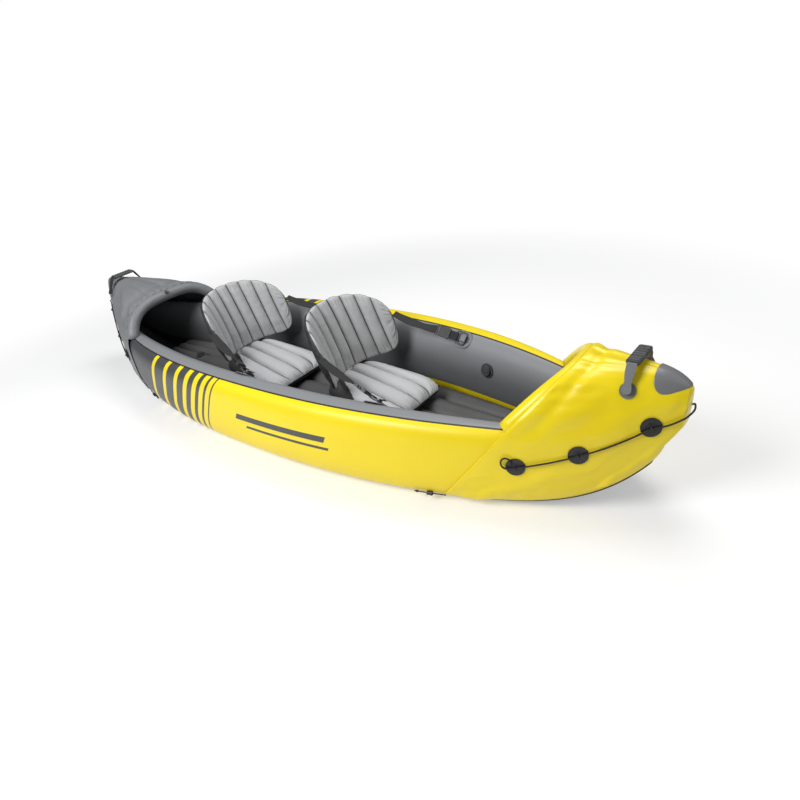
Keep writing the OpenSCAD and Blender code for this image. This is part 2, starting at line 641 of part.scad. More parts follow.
// Seat straps: anchor patch and ring on the tube, webbing, buckle and webbing to the backrest.
anchor_angle = 119;
anchor_run = 382;
web_base = 14.7;
anchor_seat = 0;
function anchor_at(x0) = tube_point(x0 + anchor_run, anchor_angle, anchor_seat);
function anchor_n(x0) = tube_out_way(x0 + anchor_run, anchor_angle);
function strap_start(x0) = anchor_at(x0) + web_base * anchor_n(x0);
function strap_end(x0) = [x0 + back_radius * (1 - cos(back_sweep)) - back_side * tan(back_lean),
    back_radius * sin(back_sweep) + 10, back_low + back_side];
function strap_u(x0) = unit(strap_end(x0) - strap_start(x0));
function strap_w(x0) = unit(cross(anchor_n(x0), strap_u(x0)));
function strap_n(x0) = cross(strap_u(x0), strap_w(x0));
function strap_long(x0) = norm(strap_end(x0) - strap_start(x0));
ring_long = 48;
ring_wide = web_width + 22;
ring_wire = 6;
anchor_long = 92;
anchor_wide = 72;
anchor_round = 34;
socket_long = 40;
// each strap ends just short of the backrest's edge
strap_short = 7.5;
socket_start = ring_long / 2 + 24;
web_start = socket_start + socket_long + 19;
module along_strap(x0) {
    placed(strap_start(x0), strap_u(x0), strap_w(x0), strap_n(x0)) children();
}
module on_anchor(x0) {
    n = anchor_n(x0);
    v = unit(cross(n, tube_along(x0 + anchor_run, anchor_angle)));
    placed(anchor_at(x0), cross(v, n), v, n) children();
}
module each_seat_side() {
    for (side = [0, 1]) mirror([0, side, 0]) children();
}
module round_rect(a, b, r) {
    square([a - 2 * r, b], center = true);
    square([a, b - 2 * r], center = true);
    for (i = [-1, 1], j = [-1, 1]) translate([i * (a / 2 - r), j * (b / 2 - r)]) circle(r);
}
module strap_anchors() {
    color([0.3, 0.3, 0.3]) each_seat_side() for (x0 = [front_seat_x, rear_seat_x])
        on_anchor(x0) {
            linear_extrude(2.4) round_rect(anchor_long, anchor_wide, anchor_round);
            translate([3, -web_width / 2 + 4, 0]) cube([9, web_width - 8, web_base + 7.6]);
            translate([3, -web_width / 2 + 4, web_base + 4.6]) cube([26, web_width - 8, 3]);
        }
}
module strap_rings() {
    color([0.12, 0.12, 0.12]) each_seat_side() for (x0 = [front_seat_x, rear_seat_x])
        along_strap(x0) translate([0, 0, -ring_wire / 2]) linear_extrude(ring_wire)
            difference() {
                round_rect(ring_long, ring_wide, 14);
                round_rect(ring_long - 2 * ring_wire, ring_wide - 2 * ring_wire, 6);
            }
}
module ring_webbing() {
    first = ring_long / 2 - ring_wire - web_thickness - gap;
    tall = ring_wire + 2 * (web_thickness + gap);
    color([0.1, 0.1, 0.1]) each_seat_side() for (x0 = [front_seat_x, rear_seat_x])
        along_strap(x0) {
            difference() {
                translate([first, -web_width / 2, -tall / 2])
                    cube([ring_wire + 2 * (web_thickness + gap), web_width, tall]);
                translate([first + web_thickness, -web_width, -tall / 2 + web_thickness])
                    cube([ring_wire + 2 * gap, 2 * web_width, tall - 2 * web_thickness]);
            }
            translate([ring_long / 2 + web_thickness + gap - 0.5, -web_width / 2, -web_thickness / 2])
                cube([socket_start - ring_long / 2 - web_thickness - gap, web_width, web_thickness]);
        }
}
module buckle_sockets() {
    color([0.1, 0.1, 0.1]) each_seat_side() for (x0 = [front_seat_x, rear_seat_x])
        along_strap(x0) translate([socket_start, 0, 0]) difference() {
            translate([0, 0, -6]) linear_extrude(12)
                translate([socket_long / 2, 0]) round_rect(socket_long, web_width + 10, 5);
            translate([10, -web_width / 2 + 1, -3.6]) cube([socket_long, web_width - 2, 7.2]);
            for (s = [-1, 1]) translate([16, s * (web_width / 2 + 5) - 5, -3.6])
                cube([14, 10, 7.2]);
        }
}
module buckle_tongues() {
    first = socket_start + 12;
    color([0.14, 0.14, 0.14]) each_seat_side() for (x0 = [front_seat_x, rear_seat_x])
        along_strap(x0) {
            for (s = [-1, 1]) translate([first, s * (web_width / 2 - 6) - 3.5, -2.8])
                cube([socket_long - 11, 7, 5.6]);
            translate([first, -1.5, -2.8]) cube([socket_long - 11, 3, 5.6]);
            translate([socket_start + socket_long + 1, -web_width / 2 - 5, -4.5]) difference() {
                cube([18, web_width + 10, 9]);
                translate([8, 4, -1]) cube([5, web_width + 2, 20]);
            }
        }
}
module seat_strap(x0) {
    color([0.1, 0.1, 0.1]) along_strap(x0)
        translate([web_start + gap, -web_width / 2, -web_thickness / 2])
            cube([strap_long(x0) - web_start - gap - strap_short, web_width, web_thickness]);
}
module front_strap_port() {
    seat_strap(front_seat_x);
}
module front_strap_starboard() {
    mirror([0, 1, 0]) seat_strap(front_seat_x);
}
module rear_strap_port() {
    seat_strap(rear_seat_x);
}
module rear_strap_starboard() {
    mirror([0, 1, 0]) seat_strap(rear_seat_x);
}

tube_port();
tube_starboard();
bottom_sheet();
bow_bottom();
stern_bottom();
floor();
bow_cover();
stern_cover();
bow_coaming();
stern_coaming();
bow_nose_patch();
stern_nose_patch();
bow_guides();
stern_guides();
bow_grab_line();
stern_grab_line();
bow_drawcords();
stern_drawcords();
lock_bow_port();
lock_bow_starboard();
lock_stern_port();
lock_stern_starboard();
bow_handle_patches();
stern_handle_patches();
bow_handle_strap();
stern_handle_strap();
bow_handle_grip();
stern_handle_grip();
valve_port_base();
valve_port_cap();
valve_starboard_base();
valve_starboard_cap();
floor_valve_base();
floor_valve_cap();
coaming_valve_base();
coaming_valve_plug();
front_pad();
rear_pad();
front_backrest();
rear_backrest();
strap_anchors();
strap_rings();
ring_webbing();
buckle_sockets();
buckle_tongues();
front_strap_port();
front_strap_starboard();
rear_strap_port();
rear_strap_starboard();
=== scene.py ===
"""Looks of an inflatable tandem kayak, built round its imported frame.

The bow points along +X, port is +Y and up is +Z, in metres. The smooth pieces repeat the shape functions
that the solids follow, on fine grids, and stand for the faceted nodes. Small moulded fittings stay as packed
and get their finishes here.
"""

import logging
import math
from dataclasses import dataclass, field
from enum import Enum
from typing import Callable, Dict, Optional, Tuple, Union

import bmesh
import bpy
import numpy as np
from mathutils import Matrix, Vector


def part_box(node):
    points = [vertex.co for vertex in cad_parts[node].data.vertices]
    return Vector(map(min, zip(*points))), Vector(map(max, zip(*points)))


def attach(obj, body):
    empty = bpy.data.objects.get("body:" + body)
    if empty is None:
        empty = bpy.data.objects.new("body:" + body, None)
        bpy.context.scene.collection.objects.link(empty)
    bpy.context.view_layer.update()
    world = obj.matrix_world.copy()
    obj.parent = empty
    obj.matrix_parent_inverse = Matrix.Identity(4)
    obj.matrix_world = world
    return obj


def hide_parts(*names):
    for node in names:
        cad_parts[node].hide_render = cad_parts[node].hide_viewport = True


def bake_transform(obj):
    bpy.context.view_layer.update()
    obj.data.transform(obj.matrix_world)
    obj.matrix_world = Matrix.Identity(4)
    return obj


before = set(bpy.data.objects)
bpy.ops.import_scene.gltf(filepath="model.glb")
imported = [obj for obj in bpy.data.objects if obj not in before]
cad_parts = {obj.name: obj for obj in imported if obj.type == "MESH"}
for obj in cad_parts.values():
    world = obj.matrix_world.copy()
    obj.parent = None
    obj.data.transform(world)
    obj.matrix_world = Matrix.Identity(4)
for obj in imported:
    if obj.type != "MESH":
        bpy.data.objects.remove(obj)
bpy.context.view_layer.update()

logging.basicConfig(level=logging.INFO, format="%(message)s")
LOG = logging.getLogger("kayak")
SEED = 7

Array = np.ndarray
Material = bpy.types.Material
Colour = Tuple[float, float, float]
Point = Tuple[float, float, float]


class Side(Enum):
    """The two sides of the hull, by the sign of Y."""

    PORT = 1
    STARBOARD = -1

    @property
    def word(self) -> str:
        """The side's name in node names."""
        return self.name.lower()


class Sock:
    """A shader socket that adds Math nodes when it is used in arithmetic."""

    def __init__(self, nodes: "Nodes", socket: Optional[bpy.types.NodeSocket]) -> None:
        """Wraps a socket.

        Args:
            nodes: The builder that owns the node tree.
            socket: An output socket of one of its nodes, or None for a node without one.
        """
        self.nodes = nodes
        self.socket = socket

    def _math(self, operation: str, *values: "Value") -> "Sock":
        """A Math node of this operation on the given values, in order."""
        return self.nodes.node("ShaderNodeMath", {"operation": operation}, dict(enumerate(values)))

    def __add__(self, other: "Value") -> "Sock":
        """Sum."""
        return self._math("ADD", self, other)

    __radd__ = __add__

    def __sub__(self, other: "Value") -> "Sock":
        """Difference."""
        return self._math("SUBTRACT", self, other)

    def __rsub__(self, other: "Value") -> "Sock":
        """Difference the other way round."""
        return self._math("SUBTRACT", other, self)

    def __mul__(self, other: "Value") -> "Sock":
        """Product."""
        return self._math("MULTIPLY", self, other)

    __rmul__ = __mul__

    def __pow__(self, other: "Value") -> "Sock":
        """Power."""
        return self._math("POWER", self, other)

    def __abs__(self) -> "Sock":
        """Absolute value."""
        return self._math("ABSOLUTE", self)

    def sin(self) -> "Sock":
        """Sine of radians."""
        return self._math("SINE", self)

    def high(self, other: "Value") -> "Sock":
        """The higher of two values."""
        return self._math("MAXIMUM", self, other)

    def step(self, edge: float, soft: float) -> "Sock":
        """Rises smoothly from 0 to 1 as the value passes an edge.

        Args:
            edge: The value at the middle of the rise.
            soft: Half the breadth of the rise.

        Returns:
            The risen value.
        """
        return self.nodes.node(
            "ShaderNodeMapRange", {"interpolation_type": "SMOOTHSTEP"},
            {"Value": self, "From Min": edge - soft, "From Max": edge + soft})

    def band(self, low: float, high: float, soft: float) -> "Sock":
        """1 between two values and 0 outside, with soft edges."""
        return self.step(low, soft) * (1 - self.step(high, soft))


Value = Union[Sock, float, int]


class Nodes:
    """A node tree whose nodes all come from one method."""

    def __init__(self, owner: Union[Material, bpy.types.World]) -> None:
        """Empties the tree of a material or a world.

        Args:
            owner: What the tree belongs to.
        """
        owner.use_nodes = True
        self.tree = owner.node_tree
        self.tree.nodes.clear()

    def put(self, socket: bpy.types.NodeSocket, value: object) -> None:
        """Links a wrapped socket, or sets a plain value.

        Args:
            socket: The input that is fed.
            value: A wrapped output, a colour or a number.
        """
        if isinstance(value, Sock):
            self.tree.links.new(value.socket, socket)
        elif isinstance(value, tuple) and socket.type == "RGBA":
            socket.default_value = (*value, 1.0)
        else:
            socket.default_value = value

    def node(self, kind: str, settings: Optional[Dict[str, object]] = None,
             inputs: Optional[Dict[object, object]] = None, output: Union[int, str] = 0) -> Sock:
        """Adds a node.

        Args:
            kind: The node's type.
            settings: Attributes of the node, set first.
            inputs: Values or links by socket name or number.
            output: The output that is wrapped.

        Returns:
            The wrapped output socket.
        """
        made = self.tree.nodes.new(kind)
        for name, value in (settings or {}).items():
            setattr(made, name, value)
        for key, value in (inputs or {}).items():
            self.put(made.inputs[key], value)
        return Sock(self, made.outputs[output] if len(made.outputs) else None)


class Paint(Nodes):
    """Builds one node material round a Principled shader."""

    def __init__(self, name: str) -> None:
        """Starts a material, with its shader linked to its output.

        Args:
            name: The material's name.
        """
        self.material = bpy.data.materials.new(name)
        super().__init__(self.material)
        self.shader = self.node("ShaderNodeBsdfPrincipled")
        self.node("ShaderNodeOutputMaterial", inputs={"Surface": self.shader})

    def mix(self, factor: Value, first: object, second: object) -> Sock:
        """A colour between two colours."""
        return self.node("ShaderNodeMix", {"data_type": "RGBA"}, {0: factor, 6: first, 7: second}, 2)

    def place(self) -> Sock:
        """The point's place in the frame."""
        return self.node("ShaderNodeTexCoord", output="Object")

    def chart(self) -> Sock:
        """The point's place on the piece's own UV map."""
        return self.node("ShaderNodeTexCoord", output="UV")

    def axes(self, vector: Sock) -> Tuple[Sock, ...]:
        """The three numbers of a vector."""
        parts = self.node("ShaderNodeSeparateXYZ", inputs={0: vector}).socket.node
        return tuple(Sock(self, number) for number in parts.outputs)

    def stretched(self, vector: Sock, scale: Point) -> Sock:
        """A vector with each axis scaled."""
        return self.node("ShaderNodeMapping", {}, {"Vector": vector, "Scale": scale})

    def noise(self, vector: Sock, scale: float, detail: float = 3.0, rough: float = 0.5) -> Sock:
        """Cloudy noise from 0 to 1."""
        return self.node("ShaderNodeTexNoise", {},
                         {"Vector": vector, "Scale": scale, "Detail": detail, "Roughness": rough})

    def cells(self, vector: Sock, scale: float) -> Sock:
        """Distance to the nearest of scattered points."""
        return self.node("ShaderNodeTexVoronoi", {}, {"Vector": vector, "Scale": scale})

    def bump(self, height: Sock, strength: float, distance: float, under: Optional[Sock] = None) -> Sock:
        """A bent normal from a height field.

        Args:
            height: The height field.
            strength: How much the normal follows it.
            distance: Metres for one unit of height.
            under: A bump that this one lies on.

        Returns:
            The normal.
        """
        links: Dict[object, object] = {"Height": height, "Strength": strength, "Distance": distance}
        if under is not None:
            links["Normal"] = under
        return self.node("ShaderNodeBump", {}, links)

    def done(self, **sockets: object) -> Material:
        """Sets the shader's sockets, given with underscores for spaces.

        Args:
            sockets: Values or links by socket name.

        Returns:
            The finished material.
        """
        for name, value in sockets.items():
            self.put(self.shader.socket.node.inputs[name.replace("_", " ")], value)
        return self.material


@dataclass(frozen=True)
class VinylFinish:
    """Smooth coated vinyl film: fine grain, broad soft wrinkles and a little colour drift."""

    name: str
    colour: Colour
    shade: Colour
    roughness: float
    coat: float = 0.0
    coat_roughness: float = 0.18
    grain: float = 900.0
    grain_depth: float = 0.12
    wrinkle: float = 9.0
    wrinkle_depth: float = 0.25
    wrinkle_stretch: Point = (0.45, 1.0, 1.3)
    clouds: float = 4.0
    wear: float = 0.12
    wear_patches: float = 22.0

    def height(self, paint: Paint, place: Sock) -> Sock:
        """The normal of grain on top of long soft wrinkles.

        Args:
            paint: The material's builder.
            place: The point's place.

        Returns:
            The normal.
        """
        folds = paint.noise(paint.stretched(place, self.wrinkle_stretch), self.wrinkle, 2.0)
        broad = paint.bump(folds, self.wrinkle_depth, 0.012)
        fine = paint.cells(place, self.grain)
        return paint.bump(fine, self.grain_depth, 0.0004, broad)

    def tint(self, paint: Paint, place: Sock) -> Sock:
        """The colour, that drifts to its shade in broad clouds."""
        drift = paint.noise(place, self.clouds, 3.0).step(0.5, 0.32)
        return paint.mix(drift, self.shade, self.colour)

    def build(self) -> Material:
        """The material: its tint, a roughness that wear changes either way, its coat and its normal.

        Returns:
            The material.
        """
        paint = Paint(self.name)
        place = paint.place()
        rough = paint.noise(place, self.wear_patches, 2.0) * self.wear + (self.roughness - 0.5 * self.wear)
        return paint.done(Base_Color=self.tint(paint, place), Roughness=rough, Coat_Weight=self.coat,
                          Coat_Roughness=self.coat_roughness, Normal=self.height(paint, place))


@dataclass(frozen=True)
class HullFinish(VinylFinish):
    """Side tube vinyl: a coloured outer panel with fading slanted stripes, and a grey inner panel that
    darkens towards the bottom of the inner wall as painted shade.
    """

    coat_roughness: float = 0.2
    panel: Colour = (0.255, 0.263, 0.275)
    # The darker grey that the inner panel turns to lower down the inner wall is painted shade.
    panel_painted_shade: Colour = (0.125, 0.128, 0.133)
    painted_shade_turn: float = 145.0 / 360.0
    painted_shade_soft: float = 0.10
    dark: Colour = (0.062, 0.064, 0.067)
    seam_turn: float = 80.0 / 360.0
    inner_turn: float = 205.6 / 360.0
    seam_soft: float = 0.0008
    slant: float = 0.55
    slant_level: float = 0.19
    edge_soft: float = 0.0006
    dark_until: float = -0.70
    stripes: Tuple[Tuple[float, float], ...] = (
        (-0.625, 0.045), (-0.515, 0.035), (-0.425, 0.026), (-0.350, 0.0185),
        (-0.288, 0.0125), (-0.238, 0.008), (-0.198, 0.0045))
    bars: Tuple[Tuple[float, float, float, float], ...] = (
        (-0.02, 0.44, 0.192, 0.218), (0.05, 0.47, 0.160, 0.172))

    def tint(self, paint: Paint, place: Sock) -> Sock:
        """The panels' colours, by place along the hull and by turn round the tube, with painted shade on the
        lower inner wall.

        Args:
            paint: The material's builder.
            place: The point's place.

        Returns:
            The colour.
        """
        along, _, up = paint.axes(place)
        _, turn, _ = paint.axes(paint.chart())
        slanted = along - (up - self.slant_level) * self.slant
        dark = 1 - slanted.step(self.dark_until, self.edge_soft)
        for middle, half in self.stripes:
            dark = dark.high(slanted.band(middle - half, middle + half, self.edge_soft))
        for first, last, low, high in self.bars:
            bar = slanted.band(first, last, self.edge_soft) * up.band(low, high, self.edge_soft)
            dark = dark.high(bar)
        side = paint.mix(dark, super().tint(paint, place), self.dark)
        # Painted shade: the grey inner panel darkens round the tube towards the bottom of the inner wall.
        inside = paint.mix(turn.step(self.painted_shade_turn, self.painted_shade_soft), self.panel, self.panel_painted_shade)
        outer = 1 - turn.band(self.seam_turn, self.inner_turn, self.seam_soft)
        return paint.mix(outer, inside, side)


@dataclass(frozen=True)
class SeatFinish(VinylFinish):
    """Seat vinyl with painted shade in the welded grooves between the channels, dark lines with a dimmer band
    beside them, counted on the piece's own chart.
    """

    grain: float = 1700.0
    grain_depth: float = 0.2
    wrinkle: float = 30.0
    wrinkle_depth: float = 0.3
    channels: int = 9
    axis: int = 0
    # The dark colour in the grooves between the channels is painted shade.
    line: Colour = (0.045, 0.045, 0.047)
    groove_shade: float = 0.55

    def tint(self, paint: Paint, place: Sock) -> Sock:
        """The colour, with painted shade dimming it near the welded grooves and darkening it in them, on a
        chart from -1 to 1 across the channels.

        Args:
            paint: The material's builder.
            place: The point's place.

        Returns:
            The colour.
        """
        across = paint.axes(paint.chart())[self.axis]
        wave = abs(((across + 1) * (0.5 * math.pi * self.channels)).sin())
        # Painted shade: dark in the welded grooves, and dimmed in a band beside them.
        weld = 1 - wave.step(0.10, 0.06)
        near = 1 - wave.step(0.34, 0.30)
        groove_shade_colour = tuple(self.groove_shade * c for c in self.colour)
        groove_shaded = paint.mix(near * self.groove_shade, super().tint(paint, place), groove_shade_colour)
        return paint.mix(weld, groove_shaded, self.line)


@dataclass(frozen=True)
class WebFinish:
    """Woven webbing: ribs across the strap and yarns along it, on the strap's own chart."""

    name: str
    colour: Colour
    ribs: float = 420.0
    yarns: float = 260.0
    fuzz: float = 700.0
    roughness: float = 0.82
    depth: float = 0.0006

    def build(self) -> Material:
        """The material, on a chart that gives metres along and across the strap.

        Returns:
            The material.
        """
        paint = Paint(self.name)
        along, across, _ = paint.axes(paint.chart())
        row = (along * (self.ribs * math.pi)).sin()
        yarn = (across * (self.yarns * math.pi)).sin()
        weave = abs(row * yarn)
        fuzz = paint.noise(paint.place(), self.fuzz, 2.0)
        pale = tuple(min(1.0, 1.7 * c + 0.01) for c in self.colour)
        colour = paint.mix(weave * 0.6 + fuzz * 0.3, self.colour, pale)
        return paint.done(Base_Color=colour, Roughness=self.roughness,
                          Normal=paint.bump(weave + fuzz * 0.3, 0.6, self.depth))


@dataclass(frozen=True)
class CordFinish:
    """Braided cord: two sets of strands that cross on the cord's own chart."""

    name: str
    colour: Colour
    pitch: float = 260.0
    strands: float = 8.0
    roughness: float = 0.7
    depth: float = 0.0008

    def build(self) -> Material:
        """The material, on a chart that gives metres along and turns round the cord.

        Returns:
            The material.
        """
        paint = Paint(self.name)
        along, turn, _ = paint.axes(paint.chart())
        run, lay = along * (self.pitch * math.pi), turn * (self.strands * math.pi)
        braid = abs((run + lay).sin() * (run - lay).sin())
        pale = tuple(1.8 * c + 0.012 for c in self.colour)
        return paint.done(Base_Color=paint.mix(braid, self.colour, pale), Roughness=self.roughness,
                          Normal=paint.bump(braid, 0.7, self.depth))


@dataclass(frozen=True)
class PlasticFinish:
    """Moulded plastic: fine spark texture and rubbed patches of gloss."""

    name: str
    colour: Colour
    roughness: float
    texture: float = 1500.0
    depth: float = 0.0003
    patches: float = 45.0

    def build(self) -> Material:
        """The material of a moulded fitting.

        Returns:
            The material.
        """
        paint = Paint(self.name)
        place = paint.place()
        speck = paint.noise(place, self.texture, 3.0, 0.7)
        worn = paint.noise(place, self.patches, 3.0)
        pale = tuple(min(1.0, 1.35 * c + 0.006) for c in self.colour)
        colour = paint.mix(worn.step(0.56, 0.2), self.colour, pale)
        rough = worn * 0.2 + (self.roughness - 0.1)
        return paint.done(Base_Color=colour, Roughness=rough, Normal=paint.bump(speck, 0.25, self.depth))


YELLOW: Colour = (0.95, 0.745, 0.006)
YELLOW_SHADE: Colour = (0.92, 0.705, 0.005)
SEAT_GREY: Colour = (0.50, 0.502, 0.508)
SEAT_SHADE: Colour = (0.465, 0.467, 0.473)


def made_of(finish: Union[VinylFinish, WebFinish, CordFinish, PlasticFinish]) -> Material:
    """A field that holds a finish's material, built together with the set."""
    return field(default_factory=finish.build)


@dataclass
class Finishes:
    """Every material of the kayak, made once."""

    hull: Material = made_of(HullFinish("hull_vinyl", YELLOW, YELLOW_SHADE, 0.42, 0.05, wrinkle_depth=0.2))
    bow_film: Material = made_of(VinylFinish(
        "bow_film", YELLOW, YELLOW_SHADE, 0.33, 0.12, wrinkle=13.0, wrinkle_depth=0.35))
    stern_film: Material = made_of(VinylFinish(
        "stern_film", (0.235, 0.243, 0.252), (0.205, 0.212, 0.22), 0.5, grain=1300.0, wrinkle=15.0,
        wrinkle_depth=0.5))
    floor: Material = made_of(VinylFinish("floor_vinyl", (0.085, 0.084, 0.082), (0.07, 0.069, 0.068), 0.5))
    patch: Material = made_of(VinylFinish(
        "patch_vinyl", (0.19, 0.192, 0.197), (0.17, 0.172, 0.177), 0.36, wrinkle=20.0))
    pad: Material = made_of(SeatFinish("pad_vinyl", SEAT_GREY, SEAT_SHADE, 0.5, channels=4, axis=1))
    back: Material = made_of(SeatFinish("back_vinyl", SEAT_GREY, SEAT_SHADE, 0.5, channels=9, axis=0))
    seat_dark: Material = made_of(VinylFinish(
        "seat_backing", (0.03, 0.03, 0.031), (0.022, 0.022, 0.023), 0.6, grain=1700.0, wrinkle=28.0,
        wrinkle_depth=0.4))
    seam: Material = made_of(PlasticFinish("seam_tape", (0.02, 0.02, 0.02), 0.5))
    web: Material = made_of(WebFinish("black_webbing", (0.018, 0.018, 0.018)))
    grey_web: Material = made_of(WebFinish("grey_webbing", (0.14, 0.142, 0.147)))
    cord: Material = made_of(CordFinish("braided_cord", (0.012, 0.012, 0.012)))
    plastic: Material = made_of(PlasticFinish("black_plastic", (0.016, 0.016, 0.017), 0.42))
    grip: Material = made_of(PlasticFinish("grip_plastic", (0.07, 0.071, 0.074), 0.45))
    fitting: Material = made_of(PlasticFinish("grey_plastic", (0.045, 0.046, 0.048), 0.45))
    inner: Material = made_of(VinylFinish("inner_panel", (0.21, 0.216, 0.226), (0.20, 0.206, 0.216), 0.4))


class GridMesh:
    """A surface of closed rings of points, put into a mesh with its chart."""

    def __init__(self, points: Array, chart: Optional[Array] = None, capped: bool = True) -> None:
        """Holds a grid.

        Args:
            points: Rings by points by three, in metres.
            chart: Rings by points and one more, by two. Left out, it runs from 0 to 1 both ways.
            capped: True if fans close the first and last rings.
        """
        self.points = points
        self.capped = capped
        rows, cols = points.shape[:2]
        if chart is None:
            chart = spread(np.linspace(0, 1, rows)[:, None], np.linspace(0, 1, cols + 1)[None])
        self.chart = chart

    def quads(self) -> Tuple[Array, Array]:
        """The corners of every quad.

        Returns:
            Vertex numbers, and chart places, both by quad and corner.
        """
        rows, cols = self.points.shape[:2]
        i, j = (index.ravel() for index in np.indices((rows - 1, cols)))
        next_j = (j + 1) % cols
        corners = np.stack([i * cols + j, i * cols + next_j, (i + 1) * cols + next_j, (i + 1) * cols + j], 1)
        places = np.stack([self.chart[i, j], self.chart[i, j + 1], self.chart[i + 1, j + 1],
                           self.chart[i + 1, j]], 1)
        return corners, places

    def object(self, name: str, *materials: Material, flip: bool = False, weld: float = 0.0,
               pick: Optional[Callable[[Array], Array]] = None) -> bpy.types.Object:
        """Makes the mesh object.

        Args:
            name: The piece's name.
            materials: The material, or several where pick chooses among them.
            flip: True to turn every face over.
            weld: Points nearer than this are joined.
            pick: Gives each quad's material number from its chart places.

        Returns:
            The object, at the origin.
        """
        corners, places = self.quads()
        points = self.points.reshape(-1, 3)
        faces = corners.tolist()
        chart = places.reshape(-1, 2)
        rows, cols = self.points.shape[:2]
        for row in (0, rows - 1) if self.capped else ():
            ring = row * cols + np.arange(cols)
            order = (np.roll(ring, -1), ring) if row == 0 else (ring, np.roll(ring, -1))
            faces += np.stack([*order, np.full(cols, len(points))], 1).tolist()
            points = np.concatenate([points, self.points[row].mean(0, keepdims=True)])
            chart = np.concatenate([chart, np.repeat(self.chart[row, :1], 3 * cols, 0)])
        mesh = bpy.data.meshes.new(name)
        mesh.from_pydata(points.tolist(), [], faces)
        layer = mesh.uv_layers.new(name="chart")
        layer.data.foreach_set("uv", chart.astype(np.float32).ravel())
        for material in materials:
            mesh.materials.append(material)
        if pick is not None:
            numbers = np.zeros(len(faces), np.int32)
            numbers[:len(corners)] = pick(places.mean(1))
            mesh.polygons.foreach_set("material_index", numbers)
        if flip:
            mesh.flip_normals()
        if weld:
            joined = bmesh.new()
            joined.from_mesh(mesh)
            bmesh.ops.remove_doubles(joined, verts=joined.verts, dist=weld)
            joined.to_mesh(mesh)
            joined.free()
        mesh.shade_smooth()
        mesh.validate()
        made = bpy.data.objects.new(name, mesh)
        bpy.context.scene.collection.objects.link(made)
        return made


def unit(vectors: Array) -> Array:
    """Vectors scaled to length one along the last axis."""
    return vectors / np.maximum(np.linalg.norm(vectors, axis=-1, keepdims=True), 1e-12)


def clamp01(values: Array) -> Array:
    """Values held between 0 and 1."""
    return np.clip(values, 0.0, 1.0)


def smooth(values: Array) -> Array:
    """The S-shaped step 3t^2 - 2t^3 of values held between 0 and 1."""
    t = clamp01(values)
    return t * t * (3.0 - 2.0 * t)


def bell(values: Array, middle: float, spread: float) -> Array:
    """A bell curve of height 1 round a middle."""
    return np.exp(-((values - middle) / spread) ** 2)


def creases(values: Array, count: float, sharp: float) -> Array:
    """Narrow ridges of height 1, that many to a unit: one less a sine's size, to a power."""
    return (1 - np.abs(np.sin(math.pi * count * values))) ** sharp


def arc(values: Array, power: float) -> Array:
    """The square root of one less a power of a value's size: flat in the middle, steep at both ends."""
    return np.sqrt(np.maximum(0, 1 - np.abs(values) ** power))


def signed(values: Array, power: Union[float, Array]) -> Array:
    """A power of a value's size, with the value's own sign."""
    return np.sign(values) * np.abs(values) ** power


def full_turn(count: int) -> Array:
    """That many angles spaced evenly round a circle, in radians."""
    return np.arange(count) / count * 2 * math.pi


def spread(*parts: Array) -> Array:
    """Arrays spread over the grid that they share, and stacked along a new last axis."""
    return np.stack(np.broadcast_arrays(*parts), -1)


def grid_normals(points: Array) -> Array:
    """Unit normals of a grid: the cross product of its two differences."""
    return unit(np.cross(np.gradient(points, axis=0), np.gradient(points, axis=1)))


def spline(path: Array, steps: int) -> Array:
    """A smooth curve through points: Catmull-Rom cubics between each pair.

    Args:
        path: The points, in order.
        steps: How many parts each stretch is cut into.

    Returns:
        The points of the curve, the first and last included.
    """
    padded = np.concatenate([2 * path[:1] - path[1:2], path, 2 * path[-1:] - path[-2:-1]])
    t = (np.arange(steps) / steps)[None, :, None]
    a, b, c, d = (padded[k:len(path) - 1 + k][:, None] for k in range(4))
    curve = 0.5 * (2 * b + (c - a) * t + (2 * a - 5 * b + 4 * c - d) * t ** 2
                   + (3 * b - 3 * c + d - a) * t ** 3)
    return np.concatenate([curve.reshape(-1, 3), path[-1:]])


def lengths(path: Array) -> Array:
    """Distance along a path to each of its points."""
    return np.concatenate([[0.0], np.cumsum(np.linalg.norm(np.diff(path, axis=0), axis=1))])


def carried(path: Array, first: Point) -> Tuple[Array, Array]:
    """Two unit directions square to a path, carried along it without twist.

    Args:
        path: The points of the path.
        first: A direction that the first one is nearest to.

    Returns:
        The two directions at each point.
    """
    ways = unit(np.gradient(path, axis=0))
    side = np.array(first, float)
    sides = np.empty_like(path)
    for k, way in enumerate(ways):
        side = side - side.dot(way) * way
        side = side / np.linalg.norm(side)
        sides[k] = side
    return sides, np.cross(ways, sides)


def swept_tube(path: Array, radius: Union[float, Array], first: Point, sides: int) -> GridMesh:
    """A round tube: circles of the given radius, square to a path.

    Args:
        path: The points of the path.
        radius: One radius, or one for each point.
        first: The direction that each circle starts from.
        sides: Points in a circle.

    Returns:
        The closed grid, charted in metres along and turns round.
    """
    one, two = carried(path, first)
    turn = full_turn(sides)
    ring = np.cos(turn)[None, :, None] * one[:, None] + np.sin(turn)[None, :, None] * two[:, None]
    wide = np.broadcast_to(np.asarray(radius, float), (len(path),))[:, None, None]
    chart = spread(lengths(path)[:, None], np.linspace(0, 1, sides + 1)[None])
    return GridMesh(path[:, None] + wide * ring, chart)


